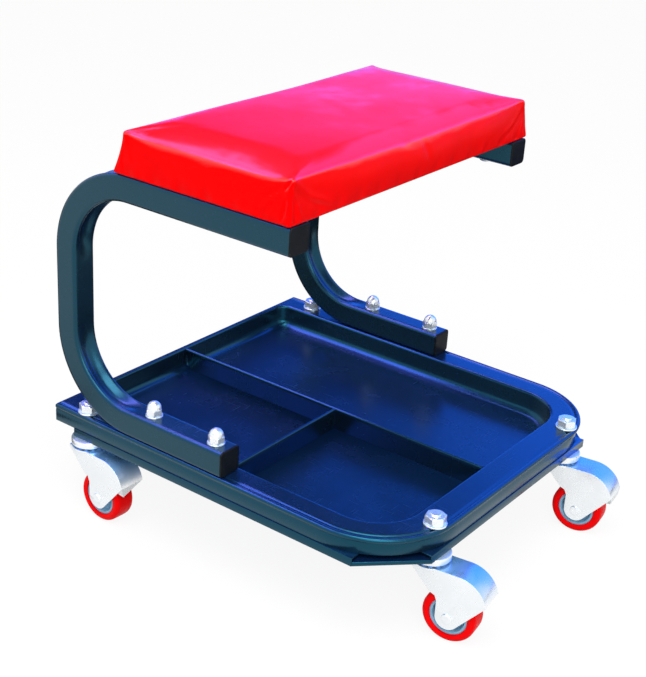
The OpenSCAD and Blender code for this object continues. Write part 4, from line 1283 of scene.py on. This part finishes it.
class CREEPER_OT_seat(bpy.types.Operator):
    """Swell the padded cover over its board, fold its corners and staple it underneath"""
    bl_idname = "creeper.seat"
    bl_label = "Padded seat"

    def execute(self, context):
        make_materials()
        s = context.scene.creeper_seat
        piece = new_object("padded_cover", mesh_of("padded_cover", *pad_skin(s), 180))
        swell(piece, s)
        divided = piece.modifiers.new("Divided", "SUBSURF")
        divided.levels = divided.render_levels = 2
        finish_modifiers(piece)
        tuck_and_pull(piece.data, s)
        middle = (SEAT_LOW + SEAT_HIGH) / 2
        piece.data.transform(Matrix.Translation(Vector((middle[0], middle[1], SEAT_LOW[2])) * MM))
        piece.data.shade_smooth()
        dress(piece, "chassis", "vinyl", "Red vinyl", "seat_cover", "seat_foam")
        coat("seat_board", "Birch plywood")
        self.staple(s, middle)
        return {"FINISHED"}

    def staple(self, s, middle):
        """A row of staples along the turned edge, on the faces that look down."""
        end, leg, r = 5.0, 1.0, 0.45
        path = [(-end, leg), (-end, 0.15), (-end + 0.7, -0.35), (end - 0.7, -0.35), (end, 0.15), (end, leg)]
        loops = [[(x, r * math.cos(a), z + r * 0.6 * math.sin(a)) for a in full_turn(8)] for x, z in path]
        source = new_object("staple_source", mesh_of("staple", *skin(loops), 60))
        half, depth = SEAT_HALF - s.turned + STAPLE_ROW
        xy, _ = corner_loop(half, -depth, depth, 6, 6, 4, 10)
        points = np.column_stack([xy + middle[:2], np.full(len(xy), SEAT_LOW[2] - 0.05)])
        edges = [(i, (i + 1) % len(points)) for i in range(len(points))]
        piece = grown("staples", points, "staples", "Bright zinc", edges, Copied=source, Staples=s.staples)
        bpy.data.objects.remove(source)
        dress(piece, "chassis", "zinc", "Bright zinc")


# Casters and wheels

BALL = 2.5  # radius of a bearing ball
BALLS = 12
AXLE = 3.0  # radius of an axle
AXLE_REACH = 15.6  # how far it reaches from the wheel's middle
TREAD_HALF = 11.0  # half the width of a tread
TREAD_OUTER, TREAD_BORE = 25.5, 18.1  # its radii
LATHE_STEPS = 96


def mirrored(profile):
    """A profile of radius and height, with its mirror image below or above it."""
    return profile + [(r, -z) for r, z in reversed(profile)]


def wheel_place(corner):
    """Turns and moves a piece made about Z onto a wheel's axle."""
    axis = Vector(JOINTS[corner + "_spin"]["axis"])
    turn = axis.to_track_quat("Z", "Y").to_matrix().to_4x4()
    return Matrix.Translation(Vector(joint_mm(corner + "_spin")) * MM) @ turn


def axle_profile():
    """Profile of an axle with a low riveted head at each end."""
    head = ((AXLE, 1.7), (4.9, 1.62), (5.0, 1.3), (4.5, 0.5), (3.4, 0.12), (2.0, 0.0), (0.6, 0.25))
    half = [(r, AXLE_REACH - under) for r, under in head]
    return [(r, -z) for r, z in reversed(half)] + [(AXLE, 0.0)] + half


def tread_profile():
    """Profile of the tread, flat across and rounded towards both sides."""
    shoulder = arc((21.4, -7.0), 4.05, -90, -8, 7)
    side = [(TREAD_BORE, 0.4 - TREAD_HALF), (TREAD_BORE + 0.5, -TREAD_HALF), (21.2, -TREAD_HALF)]
    return mirrored(side + shoulder + [(TREAD_OUTER, -5.2)])


def hub_profile():
    """Profile of the hub: a boss round its bore, a thin web and a rim."""
    boss = [(4.9, -10.6), (5.3, -11.0), (7.9, -11.0), (8.5, -10.5), (8.7, -4.6)]
    web = [(9.5, -3.7), (13.6, -3.5)]
    rim = [(14.6, -4.4), (15.2, -9.2), (15.7, -9.8), (17.4, -9.8), (18.0, -9.3)]
    return mirrored(boss + web + rim)


class CREEPER_OT_casters(bpy.types.Operator):
    """Round the pressed forks and set their balls and riveted axles"""
    bl_idname = "creeper.casters"
    bl_label = "Caster forks"

    def execute(self, context):
        make_materials()
        for c in CORNERS:
            body = c + "_caster"
            dress(bevelled(c + "_fork", 0.7, 3, 28), body, "zinc", "Blue zinc", c + "_fork")
            low, high = box_mm(c + "_balls")
            x, y, _ = joint_mm(c + "_swivel")
            ring = (high[0] - low[0] + high[1] - low[1]) / 4 - BALL
            balls = grown(c + "_bearing_balls", [(x, y, (low[2] + high[2]) / 2)], "balls", "Bright zinc",
                          Balls=BALLS, Ring_Radius=ring * MM, Ball_Radius=BALL * MM)
            dress(balls, body, "zinc", "Bright zinc", c + "_balls")
            shell(c + "_riveted_axle", capped_lathe(axle_profile(), 40), 32, body, "zinc", "Bright zinc",
                  c + "_axle", wheel_place(c))
            coat(c + "_sleeve", "Bright zinc")
        return {"FINISHED"}


class CREEPER_OT_wheels(bpy.types.Operator):
    """Turn the hubs and treads of the four wheels"""
    bl_idname = "creeper.wheels"
    bl_label = "Wheels"

    def execute(self, context):
        make_materials()
        for c in CORNERS:
            for part, profile, slot, material in (("tread", tread_profile(), "tyre", "Red tyre"),
                                                  ("hub", hub_profile(), "hub", "Hub plastic")):
                shell(c + "_moulded_" + part, lathe(profile, LATHE_STEPS), 40, c + "_wheel", slot, material,
                      c + "_" + part, wheel_place(c))
        return {"FINISHED"}


# Stage, in metres

FLOOR = [(-40, -40, 0), (40, -40, 0), (40, 40, 0), (-40, 40, 0)]
CARD_TURNS = np.radians(np.linspace(-30, 72, 24))  # directions that the blue card covers
CARD_HEIGHTS = (0.02, 8.0)
HIGH_CARD = [(x, y, 3.4) for y in (1.3, 2.9) for x in (-2.8, 2.2)]
FLAG_HEIGHT = 0.002  # just over the floor
FLAG = [(0.45, -2.4), (2.8, -2.4), (2.8, 2.4), (-0.35, 2.4), (-0.35, 0.34), (0.45, 0.34)]
LAMP_TARGET = Vector((0, 0, 0.2))

# The camera's place, found from the photograph's edges: degrees, metres and pixels
AZIMUTH, ELEVATION, ROLL = (math.radians(a) for a in (-54.336, 24.550, 3.596))
CAMERA_TARGET = Vector((-0.066602, 0.0, 0.209068))
CAMERA_DISTANCE = 1.247683
FOCAL_PIXELS, IMAGE_HEIGHT = 1358.614, 677


def plain_mesh(name, points, faces, material):
    mesh = bpy.data.meshes.new(name)
    mesh.from_pydata(points, [], faces)
    mesh.materials.append(MATERIALS[material])
    return new_object(name, mesh)


class CREEPER_OT_stage(bpy.types.Operator):
    """Set the floor, the soft lamps, the white surroundings and the camera"""
    bl_idname = "creeper.stage"
    bl_label = "Studio"

    def execute(self, context):
        make_materials()
        studio = context.scene.creeper_studio
        plain_mesh("studio_floor", FLOOR, [(0, 1, 2, 3)], "Pale floor")
        self.lamp("key_lamp", studio.key, (-1.8, -1.65, 1.5), 1.6)
        self.lamp("top_lamp", studio.top, (-0.8, -0.35, 2.2), 1.3)
        self.cards()
        self.surroundings(context.scene, studio)
        self.camera(context.scene)
        context.scene.view_settings.view_transform = "Standard"
        return {"FINISHED"}

    def lamp(self, name, power, place, size):
        """A square white lamp that looks at the object."""
        data = bpy.data.lights.new(name, "AREA")
        data.shape = "RECTANGLE"
        data.size = data.size_y = size
        data.energy = power
        lamp = new_object(name, data)
        lamp.location = place
        lamp.visible_camera = False
        lamp.rotation_euler = (LAMP_TARGET - Vector(place)).to_track_quat("-Z", "Y").to_euler()

    def cards(self):
        """Cards that only reflections see: blue behind the seat, bright over the rear, black on the floor."""
        n = len(CARD_TURNS)
        wall = [(CARD_RADIUS * math.cos(a), CARD_RADIUS * math.sin(a), z)
                for z in CARD_HEIGHTS for a in CARD_TURNS]
        flag = [(x, y, FLAG_HEIGHT) for x, y in FLAG]
        for name, points, faces, material in (
                ("blue_card", wall, [(k, k + 1, n + k + 1, n + k) for k in range(n - 1)], "Blue card"),
                ("high_card", HIGH_CARD, [(0, 1, 3, 2)], "High card"),
                ("floor_flag", flag, [tuple(range(len(flag)))], "Black flag")):
            card = plain_mesh(name, points, faces, material)
            card.visible_camera = card.visible_diffuse = card.visible_shadow = False
            card.visible_transmission = card.visible_volume_scatter = False

    def surroundings(self, scene, studio):
        """White to the camera and in reflections, and dimmer as a light."""
        world = bpy.data.worlds.new("White surroundings")
        world.use_nodes = True
        scene.world = world
        t = Tree(world.node_tree)
        t.tree.nodes.clear()
        strength = t.ramp(t.seen(), 0.0, 1.0, studio.fill, 1.0)
        light = t.add("ShaderNodeBackground", {"Color": WHITE, "Strength": strength})
        t.add("ShaderNodeOutputWorld", {"Surface": light.outputs[0]})

    def camera(self, scene):
        """A camera at the photograph's place."""
        back = Vector((math.sin(AZIMUTH) * math.cos(ELEVATION), -math.cos(AZIMUTH) * math.cos(ELEVATION),
                       math.sin(ELEVATION)))
        level = (-back).cross(Vector((0, 0, 1))).normalized()
        upright = level.cross(-back)
        right = level * math.cos(ROLL) + upright * math.sin(ROLL)
        up = upright * math.cos(ROLL) - level * math.sin(ROLL)
        data = bpy.data.cameras.new("photo_camera")
        data.sensor_width = 36
        data.lens = data.sensor_width * FOCAL_PIXELS / IMAGE_HEIGHT
        data.clip_end = 200
        camera = new_object("photo_camera", data)
        turn = Matrix((right, up, back)).transposed().to_4x4()
        camera.matrix_world = Matrix.Translation(CAMERA_TARGET + back * CAMERA_DISTANCE) @ turn
        scene.camera = camera


class CREEPER_PT_panel(bpy.types.Panel):
    """Lists the pieces and their sizes"""
    bl_idname = "CREEPER_PT_panel"
    bl_label = "Creeper Seat"
    bl_space_type = "VIEW_3D"
    bl_region_type = "UI"
    bl_category = "Creeper Seat"

    def draw(self, context):
        for operator in OPERATORS:
            self.layout.operator(operator.bl_idname)
        for name, group in SETTINGS.items():
            settings = self.layout.box()
            for key in group.__annotations__:
                settings.prop(getattr(context.scene, name), key)


OPERATORS = (CREEPER_OT_stage, CREEPER_OT_tray, CREEPER_OT_dividers, CREEPER_OT_base, CREEPER_OT_frames,
             CREEPER_OT_fixings, CREEPER_OT_seat, CREEPER_OT_casters, CREEPER_OT_wheels)
SETTINGS = {"creeper_tray": CreeperTraySizes, "creeper_tube": CreeperTubeSizes,
            "creeper_seat": CreeperSeatSizes, "creeper_finish": CreeperFinish,
            "creeper_studio": CreeperStudio}


def register():
    for kind in (*SETTINGS.values(), *OPERATORS, CREEPER_PT_panel):
        bpy.utils.register_class(kind)
    for name, group in SETTINGS.items():
        setattr(bpy.types.Scene, name, PointerProperty(type=group))


def unregister():
    for name in SETTINGS:
        delattr(bpy.types.Scene, name)
    for kind in (CREEPER_PT_panel, *reversed(OPERATORS), *reversed(SETTINGS.values())):
        bpy.utils.unregister_class(kind)


def main():
    """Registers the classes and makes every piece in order."""
    register()
    for operator in OPERATORS:
        section, name = operator.bl_idname.split(".")
        getattr(getattr(bpy.ops, section), name)()


if __name__ == "__main__":
    main()
